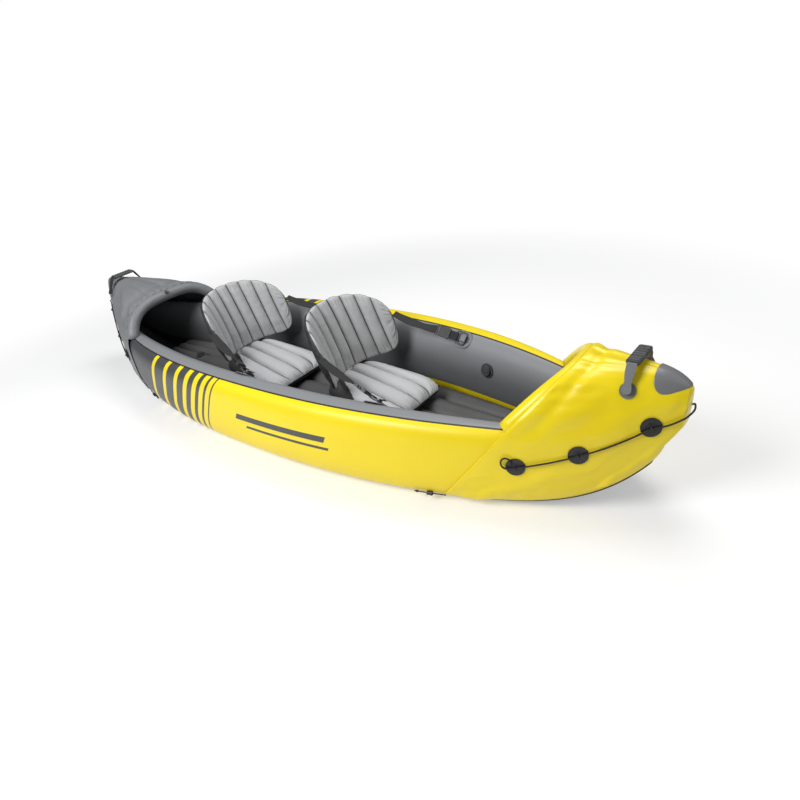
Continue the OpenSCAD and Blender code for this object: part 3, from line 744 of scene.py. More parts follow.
def swept_strap(path: Array, across: Array, width: Array, thickness: float) -> GridMesh:
    """A flat strap: a thin rounded rectangle carried along a path.

    Args:
        path: The points of the strap's middle line.
        across: The unit direction across the strap at each point.
        width: The strap's width at each point.
        thickness: Its thickness.

    Returns:
        The closed grid, charted in metres along and across.
    """
    ways = unit(np.gradient(path, axis=0))
    up = unit(np.cross(ways, across))
    turn = full_turn(24)
    flat, tall = signed(np.cos(turn), 0.3), signed(np.sin(turn), 0.3)
    points = (path[:, None] + 0.5 * width[:, None, None] * flat[None, :, None] * across[:, None]
              + 0.5 * thickness * tall[None, :, None] * up[:, None])
    wide = np.append(flat, flat[0])[None] * 0.5 * width[:, None]
    chart = spread(lengths(path)[:, None], wide)
    return GridMesh(points, chart)


def placed(piece: bpy.types.Object, body: str, slot: str, *nodes: str) -> bpy.types.Object:
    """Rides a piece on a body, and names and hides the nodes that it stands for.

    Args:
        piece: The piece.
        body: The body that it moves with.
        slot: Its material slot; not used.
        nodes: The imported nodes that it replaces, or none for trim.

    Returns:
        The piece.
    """
    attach(piece, body)
    if nodes:
        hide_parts(*nodes)
    LOG.info("%s rides on %s for %s", piece.name, body, ", ".join(nodes) or "trim")
    return piece


@dataclass(frozen=True)
class EndLines:
    """One end of the hull.

    low and high are where the cover's mouth starts at the hem and at the ridge. The ridge dips at the mouth,
    and it falls evenly and then drops to the nose. gather is how strongly the film folds, and the last two
    are the bottom sheet's end and the flare of its lip.
    """

    word: str
    sign: int
    low: float
    high: float
    dip: float
    fall: float
    drop: float
    gather: float
    sheet_end: float
    sheet_flare: float


@dataclass(frozen=True)
class HullLines:
    """The shape functions of the hull, for arrays of places along it, in metres."""

    half: float = 1.5498
    beam: float = 0.455
    top: float = 0.327
    dip: float = 0.025
    width: float = 0.182
    flat: float = 0.45 * half
    past_end: float = 0.04
    mouth: float = 0.686 * half
    upsweep: float = 0.055
    upsweep_run: float = 0.276 * half
    shoulder: float = 4.0
    shoulder_loss: float = 1.8
    shoulder_from: float = 0.8
    shoulder_run: float = 0.6
    keel_rise: float = 0.305
    sheet: float = 0.005
    gap: float = 0.0006
    film: float = 0.003
    snug: float = 0.002
    cover_top: float = 0.490
    nose: float = 0.082
    nose_back: float = 0.080
    dip_run: float = 0.22 * half
    hem_height: float = 0.026
    hem_angle: float = 62.0
    hem_back: float = 0.014
    ridge_back: float = 0.001
    floor_height: float = 0.108
    bow_high: float = 0.793 * half
    guides: Tuple[float, float, float] = (0.7195 * half, 0.83 * half, 0.945 * half)
    grab_end: float = 0.998 * half
    grab_shares: Tuple[float, float, float, float] = (0.377, 0.425, 0.466, 0.30)
    handle: float = 0.9 * half
    handle_drop: float = 0.050

    @property
    def skin(self) -> float:
        """Distance of a cover's outer face from the side tube."""
        return self.film + self.snug

    def keel(self, x: Array) -> Array:
        """Flat amidships, then the fifth power of the way to the end."""
        return self.keel_rise * np.maximum(0, (np.abs(x) - self.flat) / (self.half - self.flat)) ** 5

    def out(self, x: Array) -> Array:
        """Outer half-beam: one less the 2.35th power of the way to just past the end."""
        return self.beam * (1 - (np.abs(x) / (self.half + self.past_end)) ** 2.35)

    def radius(self, x: Array) -> Array:
        """Half-width of a side tube, that thins with the cube of the way."""
        thin = 0.5 * self.width * (1 - 0.8 * (np.abs(x) / self.half) ** 3)
        return np.minimum(thin, self.out(x) / 1.05)

    def middle(self, x: Array) -> Array:
        """Distance of a tube's axis from the middle plane."""
        return self.out(x) - self.radius(x)

    def low(self, x: Array) -> Array:
        """Underside of a side tube."""
        return self.keel(x) + self.sheet + self.gap

    def high(self, x: Array) -> Array:
        """Top of a side tube: it dips to the mouths by a cube, and sweeps up to the ends by a square.

        Args:
            x: Places along the hull.

        Returns:
            The heights.
        """
        a = np.abs(x)
        rising = self.top - self.dip + self.upsweep * ((a - self.mouth) / self.upsweep_run) ** 2
        return np.where(a <= self.mouth, self.top - self.dip * (a / self.mouth) ** 3, rising)

    def level(self, x: Array) -> Array:
        """Height of a side tube's axis."""
        return 0.5 * (self.high(x) + self.low(x))

    def rise(self, x: Array) -> Array:
        """Half-height of a side tube."""
        return 0.5 * (self.high(x) - self.low(x))

    def tube(self, x: Array, turn: Array, side: int = 1, off: float = 0.0) -> Array:
        """Points on a side tube: an ellipse in each section, a superellipse in its outer upper quarter.

        Args:
            x: Places along the hull.
            turn: Angles in radians from straight outward, over the top.
            side: 1 for port, -1 for starboard.
            off: Distance outward from the skin.

        Returns:
            The points.
        """
        x, turn = np.broadcast_arrays(x, turn)
        wide, tall = self.radius(x), self.rise(x)
        cosine, sine = np.cos(turn), np.sin(turn)
        fading = clamp01((np.abs(x) - self.shoulder_from) / self.shoulder_run)
        power = np.where((cosine > 0) & (sine > 0), self.shoulder - self.shoulder_loss * fading, 2.0)
        flat, high = signed(cosine, 2 / power), signed(sine, 2 / power)
        square = unit(spread(signed(flat, power - 1) / wide, signed(high, power - 1) / tall))
        y = np.maximum(0.0004, self.middle(x) + wide * flat + off * square[..., 0])
        return np.stack([x, side * y, self.level(x) + tall * high + off * square[..., 1]], -1)

    def grab_height(self, x: Array) -> Array:
        """The grab line's height: shares from the keel to the cover's top, straight between the guides."""
        share = np.interp(x, (*self.guides, self.grab_end), self.grab_shares)
        return self.keel(x) + (self.cover_top - self.keel(x)) * share

    def ridge(self, x: Array, end: EndLines) -> Array:
        """Height of a cover's ridge, by its fall to the nose and its dip at the mouth.

        Args:
            x: Places along the hull, from the middle out.
            end: The end.

        Returns:
            The heights.
        """
        u = clamp01((x - self.bow_high) / (self.half - self.bow_high))
        dip = end.dip * (1 - clamp01((x - end.high) / self.dip_run))
        return self.cover_top - end.fall * u - end.drop * u ** 8 - dip

    def hem(self, x: Array) -> Array:
        """Height of a cover's lower edge."""
        return self.keel(x) + self.hem_height + self.sheet

    def cover_out(self, x: Array, g: float) -> Array:
        """Half-breadth of a cover: the hull's own, rounded off at the nose by a circle.

        Args:
            x: Places along the hull, from the middle out.
            g: Distance out from the tube.

        Returns:
            Distances from the middle plane.
        """
        start = self.half - self.nose_back
        rounded = g - self.skin + np.sqrt(np.maximum(2e-5, self.nose ** 2 - (x - start) ** 2))
        beam = self.out(x) + g
        return np.where(x <= start, beam, np.minimum(beam, rounded))

    def cover_side(self, x: Array, z: Array, g: float, end: EndLines) -> Array:
        """Half-breadth of a cover at a height: snug to the tube below, a superellipse arch above.

        Args:
            x: Places along the hull, from the middle out.
            z: Heights.
            g: Distance out from the tube.
            end: The end.

        Returns:
            Distances from the middle plane.
        """
        zm, out = self.level(x), self.cover_out(x, g)
        low = np.abs(zm - z) / (self.rise(x) + g)
        snug = out * (self.middle(x) + self.radius(x) * arc(low, 2)) / self.out(x)
        power = 3.2 - clamp01((x - end.low) / (self.half - end.low))
        tall = clamp01((z - zm) / (self.ridge(x, end) + g - self.skin - zm))
        arch = out * np.maximum(0, 1 - tall ** power) ** (1 / power)
        return np.where(z <= zm, snug, np.where(low < 1, np.maximum(snug, arch), arch))

    def cover(self, u: Array, angle: Array, g: float, end: EndLines) -> Array:
        """Points of a cover's port half, in sections that lean as its mouth does.

        Args:
            u: 0 at the mouth to 1 at the nose.
            angle: Degrees: 90 at the ridge, 0 at the tube's middle height, minus hem_angle at the hem.
            g: Distance out from the tube.
            end: The end.

        Returns:
            The points, as for the bow.
        """
        u, angle = np.broadcast_arrays(u, angle)
        hem_x = end.low + (self.half - self.hem_back - end.low) * u
        ridge_x = end.high + (self.half - self.ridge_back - end.high) * u
        hem_z = self.hem(hem_x)
        ridge_z = self.ridge(ridge_x, end) + g - self.skin
        mid_z = np.minimum(np.maximum(self.level(0.5 * (hem_x + ridge_x)), hem_z + 0.012), ridge_z - 0.030)
        s = np.sin(np.radians(angle))
        z = np.where(angle >= 0, mid_z + (ridge_z - mid_z) * s,
                     mid_z + (mid_z - hem_z) * s / math.sin(math.radians(self.hem_angle)))
        x = hem_x + (ridge_x - hem_x) * (z - hem_z) / (ridge_z - hem_z)
        y = np.where(angle >= 89.999, 0.0, self.cover_side(x, z, g, end))
        return np.stack([x, y, z], -1)

    def on_side(self, x: Array, z: Array, off: float, end: EndLines) -> Tuple[Array, Array]:
        """Points off a cover's port side.

        Args:
            x: Places along the hull.
            z: Heights.
            off: Distance outward from the film.
            end: The end.

        Returns:
            The points and the outward directions.
        """
        g, step = self.skin, 0.002
        y = self.cover_side(x, z, g, end)
        dx = (self.cover_side(x + step, z, g, end) - self.cover_side(x - step, z, g, end)) / (2 * step)
        dz = (self.cover_side(x, z + step, g, end) - self.cover_side(x, z - step, g, end)) / (2 * step)
        outward = unit(np.stack([-dx, np.ones_like(x), -dz], -1))
        return np.stack([x, y, z], -1) + off * outward, outward


LINES = HullLines()
BOW = EndLines(
    "bow", 1, low=0.558 * LINES.half, high=LINES.bow_high, dip=0.0, fall=0.014, drop=0.045, gather=1.0,
    sheet_end=0.95 * LINES.half, sheet_flare=0.004)
STERN = EndLines(
    "stern", -1, low=0.607 * LINES.half, high=0.665 * LINES.half, dip=0.032, fall=0.015, drop=0.0081,
    gather=1.6, sheet_end=0.985 * LINES.half, sheet_flare=0.022)
MIRROR_Y = np.array([1.0, -1.0, 1.0])
UP = np.array([0.0, 0.0, 1.0])


def turned(points: Array, end: EndLines) -> Array:
    """Points of the bow put at the end that is asked for."""
    return points * np.array([end.sign, 1.0, 1.0])


@dataclass
class SideTubes:
    """The two inflated side tubes with their seam tapes."""

    looks: Finishes
    stations: int = 240
    sides: int = 144
    near_seam: float = math.radians(77.0)
    far_seam: float = math.radians(95.0)
    tape_width: float = 0.007
    tape_thickness: float = 0.0009
    tape_reach: float = 1.15
    end_back: float = 0.050
    round_run: float = 0.030
    tip_share: float = 0.3

    def rings(self, side: Side) -> Array:
        """Sections along the hull, that draw in over the last round_run by a quarter circle.

        Args:
            side: The tube's side.

        Returns:
            The points, by section and turn.
        """
        end = LINES.half - self.end_back
        x = end * np.sin(np.linspace(-0.5, 0.5, self.stations) * math.pi)[:, None]
        angle = full_turn(self.sides)[None]
        skin = LINES.tube(x, angle, side.value)
        heart = spread(x, side.value * LINES.middle(x), LINES.level(x))
        left = clamp01((end - np.abs(x)) / self.round_run)[..., None]
        return heart + (skin - heart) * (self.tip_share + (1 - self.tip_share) * arc(1 - left, 2))

    def seam(self, side: Side) -> float:
        """The seam's angle up from the outer side, which is higher on the port tube."""
        return self.far_seam if side is Side.PORT else self.near_seam

    def build(self) -> None:
        """Makes both tubes and tapes."""
        for side in Side:
            rings = self.rings(side)
            shares = (0.0, self.seam(side) / (2 * math.pi), HullFinish.inner_turn, 1.0)
            painted = (0.0, HullFinish.seam_turn, HullFinish.inner_turn, 1.0)
            turn = np.interp(np.linspace(0, 1, self.sides + 1), shares, painted)[None]
            chart = spread(rings[:, :1, 0], turn)
            grid = GridMesh(rings, chart)
            tube = grid.object(f"side_tube_{side.word}", self.looks.hull, flip=side is Side.STARBOARD)
            placed(tube, "hull", "yellow_vinyl", f"tube_{side.word}")
            self.tape(side)

    def tape(self, side: Side) -> None:
        """Lays the dark weld tape along the seam, from cover to cover and under them.

        Args:
            side: The tube's side.
        """
        x = self.tape_reach * np.linspace(-1, 1, 260)
        angle = self.seam(side)
        path = LINES.tube(x, angle, side.value, 0.4 * self.tape_thickness)
        ahead = LINES.tube(x, angle + 0.01, side.value, 0.0)
        across = unit(ahead - LINES.tube(x, angle - 0.01, side.value, 0.0))
        grid = swept_strap(path, across, np.full(len(x), self.tape_width), self.tape_thickness)
        placed(grid.object(f"seam_tape_{side.word}", self.looks.seam, flip=True), "hull", "dark_vinyl")


@dataclass
class HullFloor:
    """The floor's air tubes and the bottom sheets of both ends."""

    looks: Finishes
    tubes: int = 5
    stations: int = 160
    reach: float = 0.735 * LINES.half
    side_gap: float = 0.003
    end_round: float = 0.045
    edge_share: float = 0.22
    lip_run: float = 0.012
    lip_rise: float = 0.058

    def crown(self, t: Array) -> Array:
        """Round tops side by side: 0.62 plus 0.38 times the 0.6th power of a sine's size."""
        wave = np.abs(np.sin(math.pi * self.tubes * (t + 1) / 2))
        return 0.62 + 0.38 * wave ** 0.6

    def build(self) -> None:
        """Makes the floor, crowned across and rounded off at its rim, and the two end sheets."""
        x = self.reach * np.linspace(-1, 1, self.stations)[:, None]
        t = np.linspace(1, -1, self.tubes * 20 + 1)[None]
        lift = 2 * LINES.gap * clamp01((np.abs(x) - LINES.flat) / (0.04 * LINES.half))
        base = LINES.keel(x) + LINES.sheet + LINES.gap + lift
        slope = (base + 0.8 * LINES.floor_height - LINES.level(x)) / LINES.rise(x)
        inside = LINES.middle(x) - LINES.radius(x) * arc(slope, 2)
        left = clamp01((self.reach - np.abs(x)) / self.end_round)
        close = 0.8 + 0.2 * arc(1 - left, 2)
        half = (inside - self.side_gap) * close
        full = (1 - self.edge_share) * close - 0.08
        top = base + LINES.floor_height * (self.edge_share + full * self.crown(t) * arc(t, 14))
        low_t = np.linspace(-0.94, 0.94, 9)[None]
        upper = spread(x, half * t, top)
        lower = spread(x, half * low_t, base + 0.0003)
        grid = GridMesh(np.concatenate([upper, lower], 1))
        placed(grid.object("air_floor", self.looks.floor), "hull", "dark_vinyl", "floor")
        for line in (BOW, STERN):
            self.end_sheet(line)

    def end_sheet(self, line: EndLines) -> None:
        """Sweeps the bottom sheet up the keel's rise, and turns its end up behind the nose by a square.

        Args:
            line: The end.
        """
        bend = line.sheet_end - self.lip_run
        x = np.concatenate([np.linspace(LINES.flat, bend, 120), np.linspace(bend, line.sheet_end, 9)[1:]])
        lip = clamp01((x - bend) / self.lip_run)
        z = LINES.keel(x) + 0.5 * LINES.sheet + self.lip_rise * lip ** 2
        path = turned(np.stack([x, 0 * x, z], -1), line)
        across = np.broadcast_to([0.0, 1.0, 0.0], path.shape)
        half = np.maximum(0.005, LINES.middle(x) + 0.15 * LINES.radius(x)) + line.sheet_flare * lip ** 0.5
        grid = swept_strap(path, across, 2 * half, LINES.sheet - 0.0002)
        made = grid.object(f"{line.word}_keel_sheet", self.looks.floor, flip=line is STERN)
        placed(made, "hull", "dark_vinyl", f"{line.word}_bottom")


@dataclass
class EndCover:
    """One end's stretched cover with its coaming tube and nose patch."""

    looks: Finishes
    line: EndLines
    rows: int = 150
    half_columns: int = 104
    coaming_radius: float = 0.028
    film_thickness: float = 0.0016
    draw_depth: float = 0.0046
    sink_depth: float = 0.0055
    gathers: Tuple[int, ...] = (9, 14, 23, 31)
    gather_depth: float = 0.0105
    pulls: Tuple[float, ...] = (7.0, 11.0, 17.0)
    pull_depth: float = 0.0026
    tuck_depth: float = 0.009
    ruffle_depth: float = 0.0022
    tube_hollow: float = 0.0010
    free_hollow: float = 0.03
    guide_reach: float = 0.042
    handle_reach: float = 0.034
    held_run: float = 0.05
    patch_reach: float = 0.054 * 0.88
    patch_middle: float = 0.845
    patch_angle: float = 40.0
    patch_lift: float = 0.0043
    inside: Point = (1.0, 0.0, 0.22)

    @property
    def film(self) -> Material:
        """The film's material at this end."""
        return self.looks.bow_film if self.line is BOW else self.looks.stern_film

    @property
    def slot(self) -> str:
        """The film's slot at this end."""
        return "cover_yellow" if self.line is BOW else "cover_grey"

    def folds(self, mouth: Array, way: Array) -> Array:
        """How far the film stands off its smooth shape.

        Sines that fade from the mouth make gathers across it, slanted sines make pulls toward the guides, and
        short sines ruffle the hem. The film sinks behind the coaming tube and is drawn onto it at the mouth.
        Tucks crease the stern's mouth. Where the film lies on the side tube, a hyperbolic tangent holds its
        hollows to a millimetre.

        Args:
            mouth: Metres from the mouth.
            way: -1 at the starboard hem, 0 at the ridge, 1 at the port hem.

        Returns:
            Distances outward in metres.
        """
        rng = np.random.default_rng(SEED + self.line.sign)
        strong = self.line.gather
        a = np.abs(way)
        above = smooth((0.66 - a) / 0.12)
        free = smooth(mouth / 0.045)
        total = -self.draw_depth * bell(mouth, 0.0, 0.010)
        total = total - strong * self.sink_depth * bell(mouth, 0.082, 0.030) * above
        for wave in self.gathers:
            phase, bend = rng.uniform(0, 6.28), rng.uniform(-3, 3)
            fade = np.exp(-mouth / (0.9 / wave ** 0.5))
            gather = np.sin(wave * 3.14 * way + bend * mouth * 3 + phase)
            depth = strong * self.gather_depth / wave ** 0.75
            total = total + depth * fade * gather * (0.35 + 0.65 * above) * free
        for wave in self.pulls:
            phase, slant = rng.uniform(0, 6.28), rng.uniform(0.5, 1.0)
            pull = np.sin(wave * (mouth * 2.6 + slant * a * 2.2) + phase + 1.2 * np.sin(5 * mouth + phase))
            depth = strong * self.pull_depth * self.pulls[0] / wave
            total = total + depth * pull * smooth((a - 0.12) / 0.3) * smooth(mouth / 0.1)
        if self.line is STERN:
            tuck = creases(way + 0.01 * np.sin(31 * way), 17, 2.0) * bell(mouth, 0.028, 0.030)
            total = total - self.tuck_depth * tuck * above
        hem = smooth((a - 0.80) / 0.17) * free
        ruffle = np.sin(62 * mouth + 3 * np.sin(11 * mouth + self.line.sign)) + 0.6 * np.sin(139 * mouth + 1)
        total = total + hem * self.ruffle_depth * strong * ruffle
        hollow = self.tube_hollow + self.free_hollow * smooth((0.58 - a) / 0.14)
        return np.where(total < 0, hollow * np.tanh(total / hollow), total)

    def held(self, points: Array) -> Array:
        """The share of the folds that is left: none under the guides and the handle's ends, all elsewhere.

        Args:
            points: The film's points.

        Returns:
            A share from 0 to 1 for each point.
        """
        x = np.array([*LINES.guides, LINES.handle])
        z = LINES.grab_height(x)
        z[-1] = LINES.ridge(x[-1], self.line) - LINES.handle_drop
        left = np.ones(points.shape[:2])
        for k, reach in enumerate([self.guide_reach] * len(LINES.guides) + [self.handle_reach]):
            centre = LINES.on_side(x[k:k + 1], z[k:k + 1], 0.0, self.line)[0][0]
            away = np.linalg.norm(points - centre, axis=-1)
            other = np.linalg.norm(points * MIRROR_Y - centre, axis=-1)
            left = left * smooth((np.minimum(away, other) - reach) / self.held_run)
        return left

    def skin(self) -> Tuple[Array, Array, Array]:
        """The outer film: the cover's grid, closer near the nose and the ridge, with a rounded tip.

        Returns:
            Points, metres from the mouth, and the way across from -1 to 1.
        """
        way = np.linspace(-1, 1, 2 * self.half_columns + 1)[None]
        u = (1 - (1 - np.linspace(0, 1, self.rows)) ** 1.35)[:, None]
        angle = 90 - (90 + LINES.hem_angle) * np.abs(way) ** 1.45
        points = LINES.cover(u, angle, LINES.skin, self.line)
        points[..., 1] *= np.sign(way)
        theta = np.linspace(1, 0, 6)[1:, None]
        tip = np.repeat(points[-1:], len(theta), 0)
        tip[..., 1] *= theta
        tip[..., 0] += 0.003 * arc(theta, 2)
        long = LINES.half - 0.5 * (self.line.low + self.line.high)
        mouth = np.concatenate([u, 1 + 0.004 * (1 - theta)]) * long
        points = np.concatenate([points, tip])
        return points, np.broadcast_to(mouth, points.shape[:2]), np.broadcast_to(way, points.shape[:2])

    def build(self) -> None:
        """Makes the cover, its coaming and its patch."""
        points, mouth, way = self.skin()
        normals = grid_normals(points)
        outward = np.sign((normals * (points - np.array(self.inside))).sum(-1, keepdims=True))
        normals = normals * outward
        to_nose = mouth.max() - mouth
        fade = smooth(to_nose / 0.05)
        outer = points + (self.folds(mouth, way) * fade * self.held(points))[..., None] * normals
        thick = self.film_thickness * smooth(mouth / 0.006) * smooth(to_nose / 0.002)
        inner = outer - thick[..., None] * normals
        ring = np.concatenate([outer, inner[:, ::-1]], 1)
        columns = np.concatenate([way, way[:, ::-1], way[:, :1]], 1)
        chart = np.stack([np.concatenate([mouth, mouth, mouth[:, :1]], 1), columns], -1)
        grid = GridMesh(turned(ring, self.line), chart, capped=False)
        cover = grid.object(f"{self.line.word}_film", self.film, flip=self.line is STERN, weld=2e-6)
        placed(cover, "hull", self.slot, f"{self.line.word}_cover")
        self.coaming()
        self.patch()

    def arch(self) -> Array:
        """The coaming's axis, from side tube to side tube: square in from the mouth's edge by its radius.

        Returns:
            The points, as for the bow.
        """
        room = self.coaming_radius + 4 * LINES.gap
        angle = np.linspace(2, 90, 353)
        start = np.array(0.0)
        edge = LINES.cover(start, angle, LINES.snug, self.line)
        fore = LINES.cover(start + 0.03, angle, LINES.snug, self.line) - edge
        way = LINES.cover(start, np.minimum(angle + 0.5, 90), LINES.snug, self.line)
        way = way - LINES.cover(start, angle - 0.5, LINES.snug, self.line)
        way[angle > 89] = (0, -1, 0)
        axis = edge + room * unit(np.cross(fore, way))
        flat = (axis[:, 1] - LINES.middle(axis[:, 0])) / (LINES.radius(axis[:, 0]) + room)
        tall = (axis[:, 2] - LINES.level(axis[:, 0])) / (LINES.rise(axis[:, 0]) + room)
        meets = flat ** 2 + tall ** 2 < 1
        foot = 1 + np.floor(angle[meets & (angle <= 80)].max())
        at = 90 - (90 - foot) * np.linspace(1, 0, 46) ** 1.35
        half = np.stack([np.interp(at, angle, axis[:, k]) for k in range(3)], -1)
        half[-1, 1] = 0
        sunk = half[:1] + 0.045 * unit(half[:1] - half[1:2])
        half = np.concatenate([sunk, half])
        return np.concatenate([half, half[-2::-1] * MIRROR_Y])

    def coaming(self) -> None:
        """Sweeps the inflated arch that holds the mouth open."""
        path = spline(turned(self.arch(), self.line), 2)
        grid = swept_tube(path, self.coaming_radius, (1.0, 0.0, 0.0), 40)
        arch = grid.object(f"{self.line.word}_arch", self.film)
        placed(arch, "hull", self.slot, f"{self.line.word}_coaming")

    def patch(self) -> None:
        """Lays the oval patch over the nose, on rings of an oval from its rim to its middle."""
        rho = np.concatenate([[1.0, 1.0, 0.99, 0.965], np.linspace(0.93, 0.02, 22)])[:, None]
        lift = np.concatenate([[0.0018, 0.0034, 0.0041, 0.0042], np.full(22, self.patch_lift)])
        phi = full_turn(120)[None]
        ridge = LINES.half - BOW.high
        own = LINES.half - self.line.high
        reach = self.patch_reach / ridge
        u = 1 - (1 - self.patch_middle - reach * rho * np.cos(phi)) * ridge / own
        across = rho * np.sin(phi)
        angle = 90 - self.patch_angle * np.abs(across)
        layers = [LINES.cover(u[k:k + 1], angle[k:k + 1], LINES.skin + float(g), self.line)
                  for k, g in enumerate(lift)]
        points = np.concatenate(layers)
        points[..., 1] *= np.sign(across)
        grid = GridMesh(turned(points, self.line))
        made = grid.object(f"{self.line.word}_oval_patch", self.looks.patch, flip=self.line is STERN)
        placed(made, "hull", "patch_grey", f"{self.line.word}_nose_patch")


@dataclass
class EndCords:
    """The cords of one end: the grab line through its guides, and the two drawcords under the hem."""

    looks: Finishes
    line: EndLines
    radius: float = 0.003
    lift: float = 0.0042
    loop_back: float = 0.026
    loop_drop: float = 0.020
    loop_half: float = 0.016
    loop_lift: float = 0.0014
    straight_until: float = 0.965
    nose_shares: Tuple[float, ...] = (0.974, 0.983, 0.990, 0.9955)
    tip_rise: float = 0.004
    draw_radius: float = 0.002
    draw_start: float = 0.006
    draw_run: float = 0.113
    draw_turn: float = math.radians(-54)
    draw_off: float = 0.0079
    knot_swell: float = 0.0026

    def run(self, x: Array) -> Tuple[Array, Array]:
        """The grab line's points along the port side, and the outward directions."""
        return LINES.on_side(x, LINES.grab_height(x), self.lift + self.radius, self.line)

    def grab_path(self) -> Array:
        """From the port tail, an oval loop, through the guides and round the nose to the starboard tail.

        Returns:
            The points, as for the bow.
        """
        first = LINES.guides[0]
        at = np.array([first - 0.006, first, first + 0.006])
        near, outward = self.run(at)
        way = unit(near[2] - near[0])
        out = outward[1]
        down = -unit(np.cross(out, way))
        root = near[1] - self.loop_back * way
        a = np.radians(np.arange(292.5, -0.1, -22.5))[:, None]
        lift = self.loop_lift * np.minimum(1, a / math.radians(45))
        tail = root + lift * out + self.loop_drop * (1 - np.cos(a)) * down - self.loop_half * np.sin(a) * way
        x = np.concatenate([np.linspace(first, self.straight_until * LINES.half, 21),
                            np.array(self.nose_shares) * LINES.half])
        side = np.concatenate([tail, self.run(x)[0]])
        tip_z = LINES.grab_height(x[-1:])[0] + self.tip_rise
        tip = np.array([[LINES.half + self.lift + self.radius, 0, tip_z]])
        return np.concatenate([side, tip, side[::-1] * MIRROR_Y])

    def build(self) -> None:
        """Makes the three cords."""
        path = spline(turned(self.grab_path(), self.line), 4)
        grid = swept_tube(path, self.radius - 0.0001, (0.0, 0.0, 1.0), 12)
        rope = grid.object(f"{self.line.word}_grab_rope", self.looks.cord)
        placed(rope, "hull", "black_cord", f"{self.line.word}_grab_line")
        self.drawcords()

    def drawcords(self) -> None:
        """Makes both drawcords, with the knot as a swelling near the free end, in one piece each."""
        node = f"{self.line.word}_drawcords"
        for side in Side:
            x = self.line.low + self.draw_start - np.linspace(0, self.draw_run, 90)
            path = turned(LINES.tube(x, self.draw_turn, side.value, self.draw_off), self.line)
            run = lengths(path)
            knot = bell(run, run[-1] - 0.010, 0.0045)
            grid = swept_tube(path, self.draw_radius + self.knot_swell * knot, (0.0, 0.0, 1.0), 12)
            cord = grid.object(f"{self.line.word}_draw_{side.word}", self.looks.cord)
            placed(cord, "hull", "black_cord")
        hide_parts(node)


@dataclass
class CarryHandle:
    """One end's carry strap, that rides on the swinging handle."""

    looks: Finishes
    line: EndLines
    thickness: float = 0.0024
    pin_rise: float = 0.01115
    pin_half: float = 0.0065
    lap: float = 0.012
    stand: float = 0.024
    neck_depth: float = 0.28

    def build(self) -> None:
        """Sweeps the strap over the grip's core, narrowed by a bell at its necks and rounded at its ends."""
        low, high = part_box(f"{self.line.word}_handle_strap")
        middle_x = 0.5 * (low[0] + high[0])
        width = float(high[0] - low[0])
        x = np.array(LINES.handle)
        ridge = float(LINES.ridge(x, self.line))
        foot, outward = LINES.on_side(x, np.array(ridge - LINES.handle_drop), 0.0, self.line)
        upright = np.linalg.norm(outward[1:])
        over = 0.5 * self.thickness + self.pin_half * abs(outward[0]) + 1.3 * LINES.gap
        point = (foot + (self.pin_rise + over / upright) * outward)[1:]
        start = point + self.lap * np.array([outward[2], -outward[1]]) / upright
        grip_low, grip_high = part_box(f"{self.line.word}_handle_grip")
        grip = 0.5 * float(grip_high[1] - grip_low[1])
        top = ridge + self.stand
        half = np.array([start, point, [grip + 0.009, top - 0.005], [grip, top], [0.4 * grip, top]])
        run = np.concatenate([half, half[::-1] * [-1, 1]])
        path = spline(np.column_stack([np.full(len(run), middle_x), run]), 8)
        across = np.broadcast_to([1.0, 0.0, 0.0], path.shape)
        along = lengths(path)
        from_end = np.minimum(along, along[-1] - along)
        neck = 1 - self.neck_depth * bell(from_end, 0.036, 0.014)
        rounded = np.sqrt(clamp01(1 - (1 - clamp01(from_end / self.lap)) ** 2) * 0.88 + 0.12)
        grid = swept_strap(path, across, width * neck * rounded, self.thickness)
        material = self.looks.grey_web if self.line is BOW else self.looks.web
        strap = grid.object(f"{self.line.word}_carry_strap", material)
        placed(strap, f"{self.line.word}_handle", "grey_webbing", f"{self.line.word}_handle_strap")


